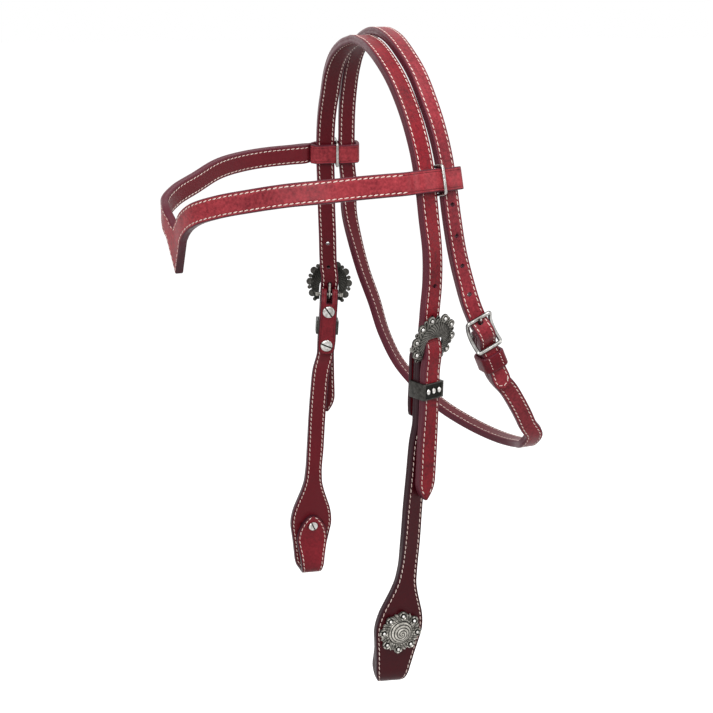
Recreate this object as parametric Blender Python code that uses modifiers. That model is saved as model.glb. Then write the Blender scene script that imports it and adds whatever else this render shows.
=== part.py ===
"""Western headstall: crown strap, throat strap, browband and two cheekpieces, with their buckles, keepers,
screws and conchos. Metres, +Z up, the horse looks along -Y and its left side is +X.
The origin is the middle of the crown strap's underside, where it rests behind the ears."""

import math

import bmesh
import bpy
import numpy as np
from mathutils import Matrix, Vector

# Overall size
POLL_TO_BIT = 0.500
HEAD_HALF_WIDTH = 0.110
HEAD_REACH = 0.160

# Straps
STRAP_WIDTH = 0.016
STRAP_THICKNESS = 0.0064
THROAT_WIDTH = 0.0145
THROAT_THICKNESS = 0.0062
BROW_WIDTH = 0.017
EDGE_CHAMFER = 0.0007
ROUTE_STEP = 0.011
PADDLE_WIDTH = 0.0405
FLAP_THICKNESS = 0.005
BIT_LOOP_GAP = 0.008
HOLE_DIAMETER = 0.0042
HOLE_PITCH = 0.0245

# Fits between pieces
FIT_GAP = 0.0003
SLIP_GAP = 0.0007

# Cart buckles on the cheekpieces
BAR_RADIUS = 0.0017
BUCKLE_WIDTH = 0.0434
BUCKLE_HEIGHT = 0.0365
BUCKLE_PLATE = 0.0026
BUCKLE_LEAN = 14.0
CHEEK_TONGUE_RADIUS = 0.0013
CHEEK_TONGUE_ANGLE = 50.0
CHEEK_TONGUE_LENGTH = 0.0170

# Metal keepers
KEEPER_HEIGHT = 0.0128
KEEPER_BACK = 0.0014
KEEPER_FRONT = 0.0016
KEEPER_SIDE = 0.0022

# Two-part leather screws and conchos
POST_HEAD_DIAMETER = 0.0094
POST_HEAD_THICKNESS = 0.0011
POST_DIAMETER = 0.0048
SCREW_HEAD_DIAMETER = 0.011
SCREW_HEAD_THICKNESS = 0.0016
SCREW_DIAMETER = 0.0026
CONCHO_DIAMETER = 0.0365
CONCHO_HEIGHT = 0.0058
CONCHO_SCREW_HEAD = 0.0086

# Browband rings
RING_WIRE_RADIUS = 0.0012

# Throat buckle
THROAT_FRAME_WIDTH = 0.0228
THROAT_FRAME_HEIGHT = 0.0290
THROAT_WIRE_RADIUS = 0.0012
THROAT_FRAME_ARCH = 0.0055
THROAT_FOLD_PLY = 0.0020
THROAT_TONGUE_RADIUS = 0.0010
THROAT_KEEPER_LENGTH = 0.013
THROAT_KEEPER_PLY = 0.0024

# Where the fittings sit, as shares of the overall size
BAR_SHARES = {1: (0.973, 0.0456, -0.4416), -1: (0.973, 0.0800, -0.4544)}
CONCHO_SHARES = {1: (0.964, -0.066, -0.9156), -1: (0.964, -0.054, -0.9090)}
THROAT_BAR_SHARES = (1.018, 0.3375, -0.4236)
BUCKLE_TURN = 18.0
BUCKLE_TILTS = {1: 1.0, -1: 4.0}
CONCHO_TURNS = {1: -2.0, -1: 5.0}
CONCHO_TILTS = {1: 8.0, -1: 3.5}
THROAT_TURN = 0.0
THROAT_LEAN = -24.0

# Routes as shares of half width, reach and poll-to-bit height, then the turn of the rear edge in degrees.
# A fifth number is how many times the two straps' spacing a throat strap row lies behind that place.
CROWN_SHARES = (
    (0.0400, 0.0000, 0.0060, 0.0),
    (0.2250, -0.0030, -0.0012, 1.5),
    (0.4210, -0.0020, -0.0202, 6.0),
    (0.5900, 0.0100, -0.0490, 9.0),
    (0.7200, 0.0250, -0.0840, 9.0),
    (0.8250, 0.0350, -0.1198, 10.0),
    (0.8990, 0.0450, -0.1576, 12.0),
    (0.9440, 0.0540, -0.1998, 14.0),
    (0.9710, 0.0640, -0.2450, 16.0),
    (1.0000, 0.0740, -0.2920, 20.0),
    (0.9980, 0.0780, -0.3410, 19.0),
)
CROWN_ENDS = {1: (1.0245, 0.0572, -0.3912, 18.0), -1: (1.0245, 0.0900, -0.4040, 18.0)}
THROAT_NEAR_SHARES = (
    (0.0000, 0.0000, 0.0188, 0.0, 0.842),
    (0.2380, -0.0030, 0.0090, 2.0, 0.885),
    (0.4370, -0.0020, -0.0130, 6.0, 0.903),
    (0.6000, 0.0100, -0.0428, 7.0, 0.912),
    (0.7190, 0.0250, -0.0796, 8.0, 0.921),
    (0.8110, 0.0350, -0.1178, 12.0, 0.982),
    (0.8740, 0.0450, -0.1580, 14.0, 1.035),
    (0.9180, 0.0540, -0.1996, 14.0, 1.052),
    (0.9590, 0.0640, -0.2480, 12.0, 1.070),
    (0.9660, 0.2130, -0.2950, 12.0),
    (0.9800, 0.2480, -0.3402, 6.0),
)
THROAT_FAR_SHARES = (
    (0.2380, -0.0030, 0.0090, 2.0, 0.885),
    (0.4370, -0.0020, -0.0110, 2.0, 0.903),
    (0.6000, 0.0100, -0.0428, 2.0, 0.929),
    (0.7230, 0.0250, -0.0796, 4.0, 0.947),
    (0.8140, 0.0350, -0.1180, 10.0, 0.999),
    (0.8740, 0.0450, -0.1580, 14.0, 1.035),
    (0.9180, 0.0540, -0.1996, 14.0, 1.052),
    (0.9700, 0.0640, -0.2480, 4.0, 1.201),
    (1.0140, 0.2160, -0.3020, -14.0),
    (1.0440, 0.2610, -0.3590, -26.0),
    (1.0310, 0.3110, -0.4180, -33.0),
    (0.9990, 0.3720, -0.4770, -36.0),
    (0.9370, 0.4170, -0.5360, -43.0),
    (0.8340, 0.4800, -0.5900, -47.0),
    (0.6340, 0.5460, -0.6256, -45.0),
    (0.3540, 0.6140, -0.6518, -30.0),
    (0.0310, 0.6930, -0.6678, -18.0),
    (-0.2980, 0.7540, -0.6710, -12.0),
    (-0.5710, 0.7660, -0.6600, -5.0),
    (-0.7510, 0.7370, -0.6440, 2.0),
    (-0.8500, 0.7270, -0.6200, 8.0),
    (-0.8820, 0.6775, -0.6014, 5.0),
    (-0.9090, 0.6338, -0.5790, 2.0),
    (-0.9318, 0.5825, -0.5538, 0.0),
    (-0.9482, 0.5350, -0.5320, 0.0),
)
CHEEK_SHARES = {
    1: (
        (0.9780, 0.0290, -0.5936, 13.0),
        (0.9830, 0.0140, -0.6436, 14.0),
        (0.9850, 0.0000, -0.6936, 13.0),
        (0.9870, -0.0120, -0.7536, 9.0),
    ),
    -1: (
        (0.9780, 0.0260, -0.6000, 14.0),
        (0.9830, 0.0110, -0.6436, 14.0),
        (0.9850, -0.0020, -0.6936, 13.0),
        (0.9870, -0.0140, -0.7536, 9.0),
    ),
}
BILLET_SHARES = {
    1: ((1.0480, 0.0500, -0.5936, 12.0), (1.0500, 0.0440, -0.6436, 13.0), (1.0500, 0.0380, -0.6836, 13.0)),
    -1: ((1.0530, 0.0740, -0.6000, 12.0), (1.0500, 0.0760, -0.6500, 13.0), (1.0500, 0.0780, -0.6880, 13.0)),
}
# A billet's pointed end: how far back from the tip, then the width there, both as shares of the strap's width
BILLET_POINT = ((1.10, 1.0), (0.72, 0.93), (0.42, 0.72), (0.20, 0.46), (0.06, 0.24), (0.0, 0.12))
BROW_SHARES = {
    1: (
        (0.0820, -0.9540, -0.2766, 0.0),
        (0.1820, -0.9450, -0.2576, 2.0),
        (0.3090, -0.9190, -0.2416, 4.0),
        (0.4640, -0.8440, -0.2276, 6.0),
        (0.6270, -0.7160, -0.2156, 8.0),
        (0.7820, -0.5810, -0.2056, 10.0),
        (0.8950, -0.4380, -0.1996, 12.0),
        (0.9450, -0.2880, -0.1956, 12.5),
        (0.9600, -0.1440, -0.1936, 12.5),
    ),
    -1: (
        (0.0820, -0.9700, -0.2786, 0.0),
        (0.1820, -0.9780, -0.2616, 2.0),
        (0.3090, -0.9620, -0.2516, 4.0),
        (0.4640, -0.8880, -0.2386, 6.0),
        (0.6270, -0.7480, -0.2236, 8.0),
        (0.7820, -0.5910, -0.2066, 10.0),
        (0.8950, -0.4380, -0.1996, 12.0),
        (0.9450, -0.2880, -0.1956, 12.5),
        (0.9600, -0.1440, -0.1936, 12.5),
    ),
}
BROW_TIP_SHARES = (0.0, -0.9560, -0.3076)
BROW_LOOP_HEIGHT_SHARE = -0.1916

SCALE = np.array((HEAD_HALF_WIDTH, HEAD_REACH, POLL_TO_BIT))
PLY = STRAP_THICKNESS / 2
THROAT_PLY = THROAT_THICKNESS / 2
THROAT_BEHIND = (STRAP_WIDTH + THROAT_WIDTH) / 2 + 2 * (RING_WIRE_RADIUS + FIT_GAP)


# Materials and objects


def material(name, colour, roughness, metallic):
    made = bpy.data.materials.new(name)
    made.use_nodes = True
    shader = made.node_tree.nodes["Principled BSDF"]
    shader.inputs["Base Color"].default_value = (*colour, 1.0)
    shader.inputs["Roughness"].default_value = roughness
    shader.inputs["Metallic"].default_value = metallic
    return made


def leather(name):
    return material(name + "_leather", (0.22, 0.030, 0.040), 0.45, 0.0)


def antique(name):
    return material(name + "_metal", (0.12, 0.115, 0.10), 0.42, 1.0)


def nickel(name):
    return material(name + "_metal", (0.62, 0.60, 0.56), 0.25, 1.0)


def add_object(name, bm, look, group, origin=(0, 0, 0)):
    """A mesh object made from bm, whose points are in world space, with its origin moved to a point."""
    bmesh.ops.recalc_face_normals(bm, faces=bm.faces)
    bmesh.ops.translate(bm, verts=bm.verts, vec=-Vector(origin))
    mesh = bpy.data.meshes.new(name)
    bm.to_mesh(mesh)
    bm.free()
    made = bpy.data.objects.new(name, mesh)
    made.location = origin
    group.objects.link(made)
    if look:
        mesh.materials.append(look)
    return made


def cutter(name, bm, group):
    made = add_object(name, bm, None, group)
    made.hide_render = True
    made.display_type = "WIRE"
    return made


def cut(target, tool, operation="DIFFERENCE"):
    step = target.modifiers.new(tool.name, "BOOLEAN")
    step.operation = operation
    step.solver = "EXACT"
    step.object = tool


def clear_scene():
    for item in list(bpy.data.objects):
        bpy.data.objects.remove(item)


def collection(name):
    made = bpy.data.collections.new(name)
    bpy.context.scene.collection.children.link(made)
    return made


# Local frames: out from the head, towards the rear, and up


class Frame:
    def __init__(self, origin, side, turn, lean=0.0):
        t = math.radians(turn)
        a = math.radians(lean)
        rear = np.array((-side * math.sin(t), math.cos(t), 0.0))
        up = np.array((0.0, 0.0, 1.0))
        self.origin = np.array(origin)
        self.side = side
        self.turn = turn
        self.out = np.array((side * math.cos(t), math.sin(t), 0.0))
        self.rear = rear * math.cos(a) - up * math.sin(a)
        self.up = up * math.cos(a) + rear * math.sin(a)

    def at(self, out, rear, up):
        return self.origin + self.out * out + self.rear * rear + self.up * up

    def matrix(self, out=0.0, rear=0.0, up=0.0):
        """Local X is out, Y is rear and Z is up, kept right-handed by turning Y on the far side."""
        made = Matrix.Identity(4)
        axes = (self.out, self.rear * self.side, self.up)
        for i, axis in enumerate(axes):
            made.col[i][:3] = tuple(axis)
        made.translation = Vector(self.at(out, rear, up))
        return made


def mirrored(shares, side):
    return np.array((side * shares[0], shares[1], shares[2])) * SCALE


def buckle_frame(side):
    return Frame(mirrored(BAR_SHARES[side], side), side, BUCKLE_TURN, BUCKLE_TILTS[side])


def concho_frame(side):
    return Frame(mirrored(CONCHO_SHARES[side], side), side, CONCHO_TURNS[side], CONCHO_TILTS[side])


def throat_frame():
    return Frame(mirrored(THROAT_BAR_SHARES, 1), 1, THROAT_TURN, THROAT_LEAN)


# Strap routes: a row is x, y, z, then the edge direction's x, y, z, then width and thickness


def edge_direction(side, turn):
    t = math.radians(turn)
    return (-side * math.sin(t), math.cos(t), 0.0)


def share_rows(table, side, width, thickness):
    rows = []
    for x, y, z, turn, *behind in table:
        point = mirrored((x, y, z), side)
        point[1] += sum(behind) * THROAT_BEHIND
        rows.append((*point, *edge_direction(side, turn), width, thickness))
    return rows


def local_rows(frame, table, width, thickness):
    """Rows from (out, up) or (out, up, width, thickness) in a frame's side view."""
    rows = []
    for entry in table:
        out, up = entry[:2]
        size = entry[2:] or (width, thickness)
        rows.append((*frame.at(out, 0.0, up), *frame.rear, *size))
    return rows


def smooth(rows, step=ROUTE_STEP):
    """Points along a smooth curve through the rows, at most a step apart, with the curve's direction."""
    rows = np.array(rows, float)
    gaps = np.linalg.norm(np.diff(rows[:, :3], axis=0), axis=1)
    slopes = np.diff(rows, axis=0) / gaps[:, None]
    inner = (gaps[1:, None] * slopes[:-1] + gaps[:-1, None] * slopes[1:]) / (gaps[1:] + gaps[:-1])[:, None]
    tangents = np.vstack([slopes[:1], inner, slopes[-1:]])
    points = []
    directions = []
    for i, gap in enumerate(gaps):
        parts = max(1, math.ceil(gap / step - 0.25))
        last = i == len(gaps) - 1
        for j in range(parts + last):
            t = j / parts
            value = (2 * t**3 - 3 * t**2 + 1) * rows[i] + (3 * t**2 - 2 * t**3) * rows[i + 1]
            value = value + gap * ((t**3 - 2 * t**2 + t) * tangents[i] + (t**3 - t**2) * tangents[i + 1])
            slope = (6 * t**2 - 6 * t) * (rows[i] - rows[i + 1]) / gap
            slope = slope + (3 * t**2 - 4 * t + 1) * tangents[i] + (3 * t**2 - 2 * t) * tangents[i + 1]
            points.append(value)
            directions.append(slope[:3])
    return np.array(points), np.array(directions)


def unit(vector):
    return vector / np.linalg.norm(vector)


def section(point, direction):
    """The eight corners of the strap's cross-section, a rectangle with its corners cut off."""
    along = unit(direction)
    edge = unit(point[3:6] - np.dot(point[3:6], along) * along)
    face = np.cross(along, edge)
    half = point[6] / 2
    thick = point[7] / 2
    near = min(EDGE_CHAMFER, half / 2, thick / 2)
    outline = (
        (near - half, -thick),
        (half - near, -thick),
        (half, near - thick),
        (half, thick - near),
        (half - near, thick),
        (near - half, thick),
        (-half, thick - near),
        (-half, near - thick),
    )
    return [point[:3] + edge * a + face * b for a, b in outline]


def loft(rings):
    bm = bmesh.new()
    made = [[bm.verts.new(tuple(corner)) for corner in ring] for ring in rings]
    for first, second in zip(made, made[1:]):
        for i in range(len(first)):
            j = (i + 1) % len(first)
            bm.faces.new((first[i], first[j], second[j], second[i]))
    bm.faces.new(made[0])
    bm.faces.new(made[-1])
    return bm


def ribbon(rows, step=ROUTE_STEP):
    points, directions = smooth(rows, step)
    return loft([section(p, d) for p, d in zip(points, directions)])


def cylinder(matrix, radius, length, sides=16):
    """A cylinder along the matrix's Z axis, centred on its origin."""
    bm = bmesh.new()
    bmesh.ops.create_cone(
        bm, cap_ends=True, segments=sides, radius1=radius, radius2=radius, depth=length, matrix=matrix
    )
    return bm


def box(matrix, size):
    bm = bmesh.new()
    bmesh.ops.create_cube(bm, size=1.0, matrix=matrix @ Matrix.Diagonal((*size, 1.0)))
    return bm


def axis_matrix(point, axis):
    made = Vector(axis).to_track_quat("Z", "Y").to_matrix().to_4x4()
    made.translation = Vector(point)
    return made


def curve_mesh(name, data, matrix, group, look):
    """A filled curve turned into a closed mesh object that other shapes can be cut from."""
    guide = bpy.data.objects.new(name + "_guide", data)
    group.objects.link(guide)
    graph = bpy.context.evaluated_depsgraph_get()
    mesh = bpy.data.meshes.new_from_object(guide.evaluated_get(graph))
    bpy.data.objects.remove(guide)
    bm = bmesh.new()
    bm.from_mesh(mesh)
    bmesh.ops.remove_doubles(bm, verts=bm.verts, dist=FIT_GAP / 30)
    bmesh.ops.recalc_face_normals(bm, faces=bm.faces)
    bm.to_mesh(mesh)
    bm.free()
    mesh.materials.clear()
    mesh.materials.append(look)
    made = bpy.data.objects.new(name, mesh)
    made.matrix_world = matrix
    group.objects.link(made)
    return made


def wire(name, points, radius, group, look, cyclic=False, origin=(0, 0, 0)):
    """A round wire through the points as a mesh object."""
    data = bpy.data.curves.new(name, "CURVE")
    data.dimensions = "3D"
    data.bevel_depth = radius
    data.bevel_resolution = 2
    data.use_fill_caps = True
    line = data.splines.new("POLY")
    line.points.add(len(points) - 1)
    for slot, point in zip(line.points, points):
        slot.co = (*(np.array(point) - np.array(origin)), 1.0)
    line.use_cyclic_u = cyclic
    return curve_mesh(name, data, Matrix.Translation(Vector(origin)), group, look)


def plate(name, outline, thickness, matrix, group, look):
    """A flat outline in the matrix's XY plane, thickened evenly both ways."""
    data = bpy.data.curves.new(name, "CURVE")
    data.dimensions = "2D"
    data.fill_mode = "BOTH"
    data.extrude = thickness / 2
    line = data.splines.new("POLY")
    line.points.add(len(outline) - 1)
    for slot, (x, y) in zip(line.points, outline):
        slot.co = (x, y, 0.0, 1.0)
    line.use_cyclic_u = True
    return curve_mesh(name, data, matrix, group, look)


# Layers of the cheek stack, measured outwards from the heel bar's middle


def stack():
    fold = BAR_RADIUS + FIT_GAP + PLY / 2
    turnback = -(KEEPER_BACK + 2 * FIT_GAP) - PLY / 2
    inner_face = -BAR_RADIUS - FIT_GAP
    main = inner_face + PLY
    billet = inner_face + 2 * PLY + 2 * FIT_GAP + PLY
    return {"fold": fold, "turnback": turnback + inner_face, "main": main, "billet": billet}


# Straps


def crown_rows(side):
    frame = buckle_frame(side)
    layer = stack()
    reach = layer["fold"] + PLY / 2 + FIT_GAP + PLY
    over_bar = (
        (0.60 * reach, 1.42 * reach),
        (0.72 * reach, 1.02 * reach),
        (0.88 * reach, 0.68 * reach),
        (1.01 * reach, 0.34 * reach),
        (1.07 * reach, 0.0),
        (1.08 * reach, -0.36 * reach),
        (1.07 * reach, -0.90 * reach),
        (layer["billet"] + FIT_GAP, -1.60 * reach),
        (layer["billet"], -2.20 * reach),
        (layer["billet"], -2.60 * reach),
        (layer["billet"], -4.60 * reach),
        (layer["billet"], -5.10 * reach),
    )
    rows = share_rows(CROWN_SHARES, side, STRAP_WIDTH, STRAP_THICKNESS)
    rows[0] = (rows[0][0], 0.0, STRAP_THICKNESS / 2, 0.0, 1.0, 0.0, *rows[0][6:])
    rows += share_rows([CROWN_ENDS[side]], side, STRAP_WIDTH, STRAP_THICKNESS)
    rows += local_rows(frame, over_bar, STRAP_WIDTH, STRAP_THICKNESS)
    upper, lower, tip = np.array(share_rows(BILLET_SHARES[side], side, STRAP_WIDTH, STRAP_THICKNESS))
    back = unit(lower[:3] - tip[:3]) * STRAP_WIDTH
    rows += [tuple(upper), tuple(lower)]
    for away, share in BILLET_POINT:
        rows.append((*(tip[:3] + back * away), *tip[3:6], STRAP_WIDTH * share, STRAP_THICKNESS))
    return rows


def tongue_line(loop, angle, length):
    """Where a tongue leaves its loop round the bar and where it ends, as (out, up)."""
    a = math.radians(angle)
    start = (-loop * math.sin(a), loop * math.cos(a))
    return start, (start[0] + length * math.cos(a), start[1] + length * math.sin(a))


def cheek_tongue():
    loop = BAR_RADIUS + FIT_GAP + CHEEK_TONGUE_RADIUS
    return loop, CHEEK_TONGUE_ANGLE, tongue_line(loop, CHEEK_TONGUE_ANGLE, CHEEK_TONGUE_LENGTH)


def throat_tongue():
    """The throat tongue rises just over the frame's end bar and stops a little past it."""
    loop = THROAT_WIRE_RADIUS + FIT_GAP + THROAT_TONGUE_RADIUS
    end = THROAT_FRAME_HEIGHT / 2 - THROAT_WIRE_RADIUS
    away = math.hypot(end, THROAT_FRAME_ARCH)
    apart = math.asin((2 * loop + 0.5 * FIT_GAP) / away)
    angle = math.degrees(math.atan2(end, THROAT_FRAME_ARCH) - apart)
    return loop, angle, tongue_line(loop, angle, away * math.cos(apart) + 2.6 * THROAT_TONGUE_RADIUS)


def tongue_hole(frame, line, share, radius, length):
    """A round cutter along a tongue, a share of the way from its loop to its tip."""
    (a, b), (c, d) = line
    axis = frame.out * (c - a) + frame.up * (d - b)
    middle = frame.at(a + (c - a) * share, 0.0, b + (d - b) * share)
    return cylinder(axis_matrix(middle, axis), radius, length)


def make_crown_strap(group, tools):
    near = smooth(crown_rows(1))
    far = smooth(crown_rows(-1))
    near[1][0] = (1.0, 0.0, 0.0)
    far[1][0] = (-1.0, 0.0, 0.0)
    rings = [section(p, -d) for p, d in zip(far[0][::-1], far[1][::-1])]
    rings += [section(p, d) for p, d in zip(*near)]
    strap = add_object("crown_strap", loft(rings), leather("crown_strap"), group)
    for side, label in ((1, "left"), (-1, "right")):
        frame = buckle_frame(side)
        size = CHEEK_TONGUE_RADIUS * 1.7
        tool = tongue_hole(frame, cheek_tongue()[2], 0.66, size, 2.2 * STRAP_THICKNESS)
        cut(strap, cutter(label + "_tongue_hole", tool, tools))
        points, directions = near if side > 0 else far
        for number in (1, 2):
            height = frame.origin[2] + number * HOLE_PITCH
            k = int(np.argmin(np.abs(points[:, 2] - height) + 1.0 * (points[:, 2] < frame.origin[2])))
            edge = unit(points[k][3:6])
            axis = np.cross(unit(directions[k]), edge)
            share = (height - points[k][2]) / directions[k][2]
            spot = points[k][:3] + directions[k] * share
            tool = cylinder(axis_matrix(spot, axis), HOLE_DIAMETER / 2, 3 * STRAP_THICKNESS)
            cut(strap, cutter(f"{label}_crown_hole_{number}", tool, tools))
    return strap


def billet_over_bar():
    """The billet's way over the throat buckle's centre bar and under its end bars, as (out, up) for up >= 0."""
    top = THROAT_WIRE_RADIUS + FIT_GAP + THROAT_FOLD_PLY + FIT_GAP + THROAT_PLY
    under = THROAT_FRAME_ARCH - THROAT_WIRE_RADIUS - FIT_GAP - THROAT_PLY
    end = THROAT_FRAME_HEIGHT / 2 - THROAT_WIRE_RADIUS
    return (
        (top, 0.0),
        (0.93 * top, 0.225 * end),
        (0.69 * top, 0.42 * end),
        (0.36 * top, 0.64 * end),
        (under + FIT_GAP / 3, 0.86 * end),
        (under, 1.06 * end),
    )


def throat_rows():
    frame = throat_frame()
    over = billet_over_bar()
    under = over[-1][0]
    end = THROAT_FRAME_HEIGHT / 2 - THROAT_WIRE_RADIUS
    band = under - THROAT_THICKNESS - FIT_GAP
    full = (THROAT_WIDTH, THROAT_THICKNESS)
    tip = (
        (under + FIT_GAP, -3.84 * end, 0.16 * THROAT_WIDTH, THROAT_THICKNESS),
        (under + FIT_GAP, -3.80 * end, 0.60 * THROAT_WIDTH, THROAT_THICKNESS),
        (under + FIT_GAP, -3.68 * end, 0.90 * THROAT_WIDTH, THROAT_THICKNESS),
        (under + FIT_GAP, -3.50 * end, *full),
        (under, -2.60 * end, *full),
        (under, -1.50 * end, *full),
    )
    rows = local_rows(frame, tip, *full)
    rows += local_rows(frame, [(out, -up) for out, up in over[:0:-1]], *full)
    rows += local_rows(frame, over, *full)
    rows += local_rows(frame, [(under - FIT_GAP, 1.5 * end)], *full)
    rows += share_rows(THROAT_NEAR_SHARES, 1, *full)[::-1]
    rows += share_rows(THROAT_FAR_SHARES, -1, *full)
    fold = THROAT_WIRE_RADIUS + FIT_GAP + THROAT_FOLD_PLY / 2
    thin = (THROAT_WIDTH, THROAT_FOLD_PLY)
    lower = [
        (band - FIT_GAP, -2.9 * end, *full),
        (band, -2.4 * end, *full),
        (band, -1.5 * end, *full),
        (band, -1.22 * end, *full),
        (band + THROAT_PLY / 2, -1.10 * end, THROAT_WIDTH, THROAT_PLY),
        (band + 0.65 * THROAT_PLY, -0.98 * end, *thin),
        (-1.22 * fold, -3.8 * fold, *thin),
        (-0.52 * fold, -2.4 * fold, *thin),
        (0.40 * fold, -1.24 * fold, *thin),
    ]
    for angle in (-45, -12, 20, 55, 90, 125, 160, 190):
        a = math.radians(angle)
        lower.append((fold * math.cos(a), fold * math.sin(a), *thin))
    lower += [
        (0.86 * band, -0.52 * end, *thin),
        (band - 0.60 * THROAT_PLY, -0.90 * end, *thin),
        (band - 0.62 * THROAT_PLY, -1.02 * end, *thin),
    ]
    rows += local_rows(frame, lower, *full)
    return rows


def make_throat_strap(group, tools):
    frame = throat_frame()
    points, directions = smooth(throat_rows())
    rings = [section(p, d) for p, d in zip(points, directions)]
    strap = add_object("throat_strap", loft(rings), leather("throat_strap"), group)
    tool = tongue_hole(frame, throat_tongue()[2], 0.49, THROAT_TONGUE_RADIUS * 1.8, 2.1 * THROAT_THICKNESS)
    cut(strap, cutter("throat_tongue_hole", tool, tools))
    slot = box(frame.matrix(0.0, 0.0, 0.0), (4 * THROAT_FOLD_PLY, 4 * THROAT_TONGUE_RADIUS, 7 * THROAT_FOLD_PLY))
    bmesh.ops.translate(slot, verts=slot.verts, vec=Vector(frame.up * -THROAT_FOLD_PLY / 2))
    cut(strap, cutter("throat_tongue_slot", slot, tools))
    for number in (1, 2, 3, 4):
        height = frame.origin[2] + frame.up[2] * (0.3 * THROAT_FRAME_HEIGHT + number * HOLE_PITCH)
        near = (points[:, 0] > 0) & (np.arange(len(points)) < len(points) // 3)
        k = int(np.argmin(np.abs(points[:, 2] - height) + ~near))
        edge = unit(points[k][3:6] - np.dot(points[k][3:6], unit(directions[k])) * unit(directions[k]))
        axis = np.cross(unit(directions[k]), edge)
        spot = points[k][:3] + directions[k] * (height - points[k][2]) / directions[k][2]
        tool = cylinder(axis_matrix(spot, axis), HOLE_DIAMETER / 2, 3 * THROAT_THICKNESS)
        cut(strap, cutter(f"throat_hole_{number}", tool, tools))
    return strap


# Cheekpieces


def cheek_rows(side):
    frame = concho_frame(side)
    top = buckle_frame(side)
    layer = stack()
    flap = -PLY - FIT_GAP - FLAP_THICKNESS / 2
    turn = (BIT_LOOP_GAP + FLAP_THICKNESS) / 2
    drop = BIT_LOOP_GAP * 5.0
    leaf = PADDLE_WIDTH
    rows = local_rows(
        frame,
        (
            (flap, 0.245 * leaf, 0.07 * leaf, FLAP_THICKNESS),
            (flap, 0.225 * leaf, 0.19 * leaf, FLAP_THICKNESS),
            (flap, 0.150 * leaf, 0.36 * leaf, FLAP_THICKNESS),
            (flap, 0.0, 0.57 * leaf, FLAP_THICKNESS),
            (flap, -0.20 * leaf, 0.71 * leaf, FLAP_THICKNESS),
            (flap - 0.10 * turn, -0.36 * leaf, 0.74 * leaf, FLAP_THICKNESS),
            (flap - 0.42 * turn, -0.56 * leaf, 0.68 * leaf, FLAP_THICKNESS),
            (-1.80 * turn, -0.76 * leaf, 0.60 * leaf, FLAP_THICKNESS),
            (-2.00 * turn, -drop, 0.54 * leaf, FLAP_THICKNESS),
            (-1.87 * turn, -drop - 0.50 * turn, 0.50 * leaf, FLAP_THICKNESS),
            (-1.50 * turn, -drop - 0.866 * turn, 0.47 * leaf, FLAP_THICKNESS),
            (-1.00 * turn, -drop - turn, 0.46 * leaf, FLAP_THICKNESS),
            (-0.50 * turn, -drop - 0.866 * turn, 0.50 * leaf, FLAP_THICKNESS),
            (-0.13 * turn, -drop - 0.50 * turn, 0.62 * leaf, FLAP_THICKNESS),
            (0.0, -drop, 0.68 * leaf, 1.05 * FLAP_THICKNESS),
            (0.0, -0.76 * leaf, 0.76 * leaf, 0.97 * STRAP_THICKNESS),
            (0.0, -0.52 * leaf, 0.83 * leaf, STRAP_THICKNESS),
            (0.0, -0.26 * leaf, 0.92 * leaf, STRAP_THICKNESS),
            (0.0, 0.0, leaf, STRAP_THICKNESS),
            (0.0, 0.20 * leaf, 0.975 * leaf, STRAP_THICKNESS),
            (0.0, 0.41 * leaf, 0.88 * leaf, STRAP_THICKNESS),
            (0.0, 0.64 * leaf, 0.71 * leaf, STRAP_THICKNESS),
            (0.0, 0.86 * leaf, 0.55 * leaf, STRAP_THICKNESS),
            (0.0, 1.06 * leaf, 0.44 * leaf, STRAP_THICKNESS),
            (0.0, 1.28 * leaf, STRAP_WIDTH, STRAP_THICKNESS),
        ),
        leaf,
        STRAP_THICKNESS,
    )
    rows += share_rows(CHEEK_SHARES[side], side, STRAP_WIDTH, STRAP_THICKNESS)[::-1]
    main = layer["main"]
    back = layer["turnback"]
    fold = layer["fold"]
    width = STRAP_WIDTH
    upper = [
        (main, -15.8 * fold, width, STRAP_THICKNESS),
        (main, -15.2 * fold, width, STRAP_THICKNESS),
        (main, -8.0 * fold, width, STRAP_THICKNESS),
        (main, -3.2 * fold, width, STRAP_THICKNESS),
        (main, -2.6 * fold, width, STRAP_THICKNESS),
        (fold - 0.1 * PLY, -1.45 * fold, width, PLY),
        (fold, -0.70 * fold, width, PLY),
    ]
    for angle in (0, 30, 60, 90, 120, 150, 180):
        a = math.radians(angle)
        upper.append((fold * math.cos(a), fold * math.sin(a), width, PLY))
    upper += [
        (-1.07 * fold, -0.60 * fold, width, PLY),
        (0.5 * back - 0.6 * fold, -1.25 * fold, width, PLY),
        (back, -2.00 * fold, width, PLY),
        (back, -2.50 * fold, width, PLY),
        (back, -3.20 * fold, width, PLY),
        (back, -8.0 * fold, width, PLY),
        (back, -13.5 * fold, width, PLY),
        (back, -14.6 * fold, 0.93 * width, PLY),
        (back, -15.3 * fold, 0.66 * width, PLY),
        (back, -15.5 * fold, 0.35 * width, PLY),
    ]
    rows += local_rows(top, upper, width, PLY)
    return rows


def screw_heights():
    fold = stack()["fold"]
    return {"upper": -4.2 * fold, "lower": -13.2 * fold}


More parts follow.
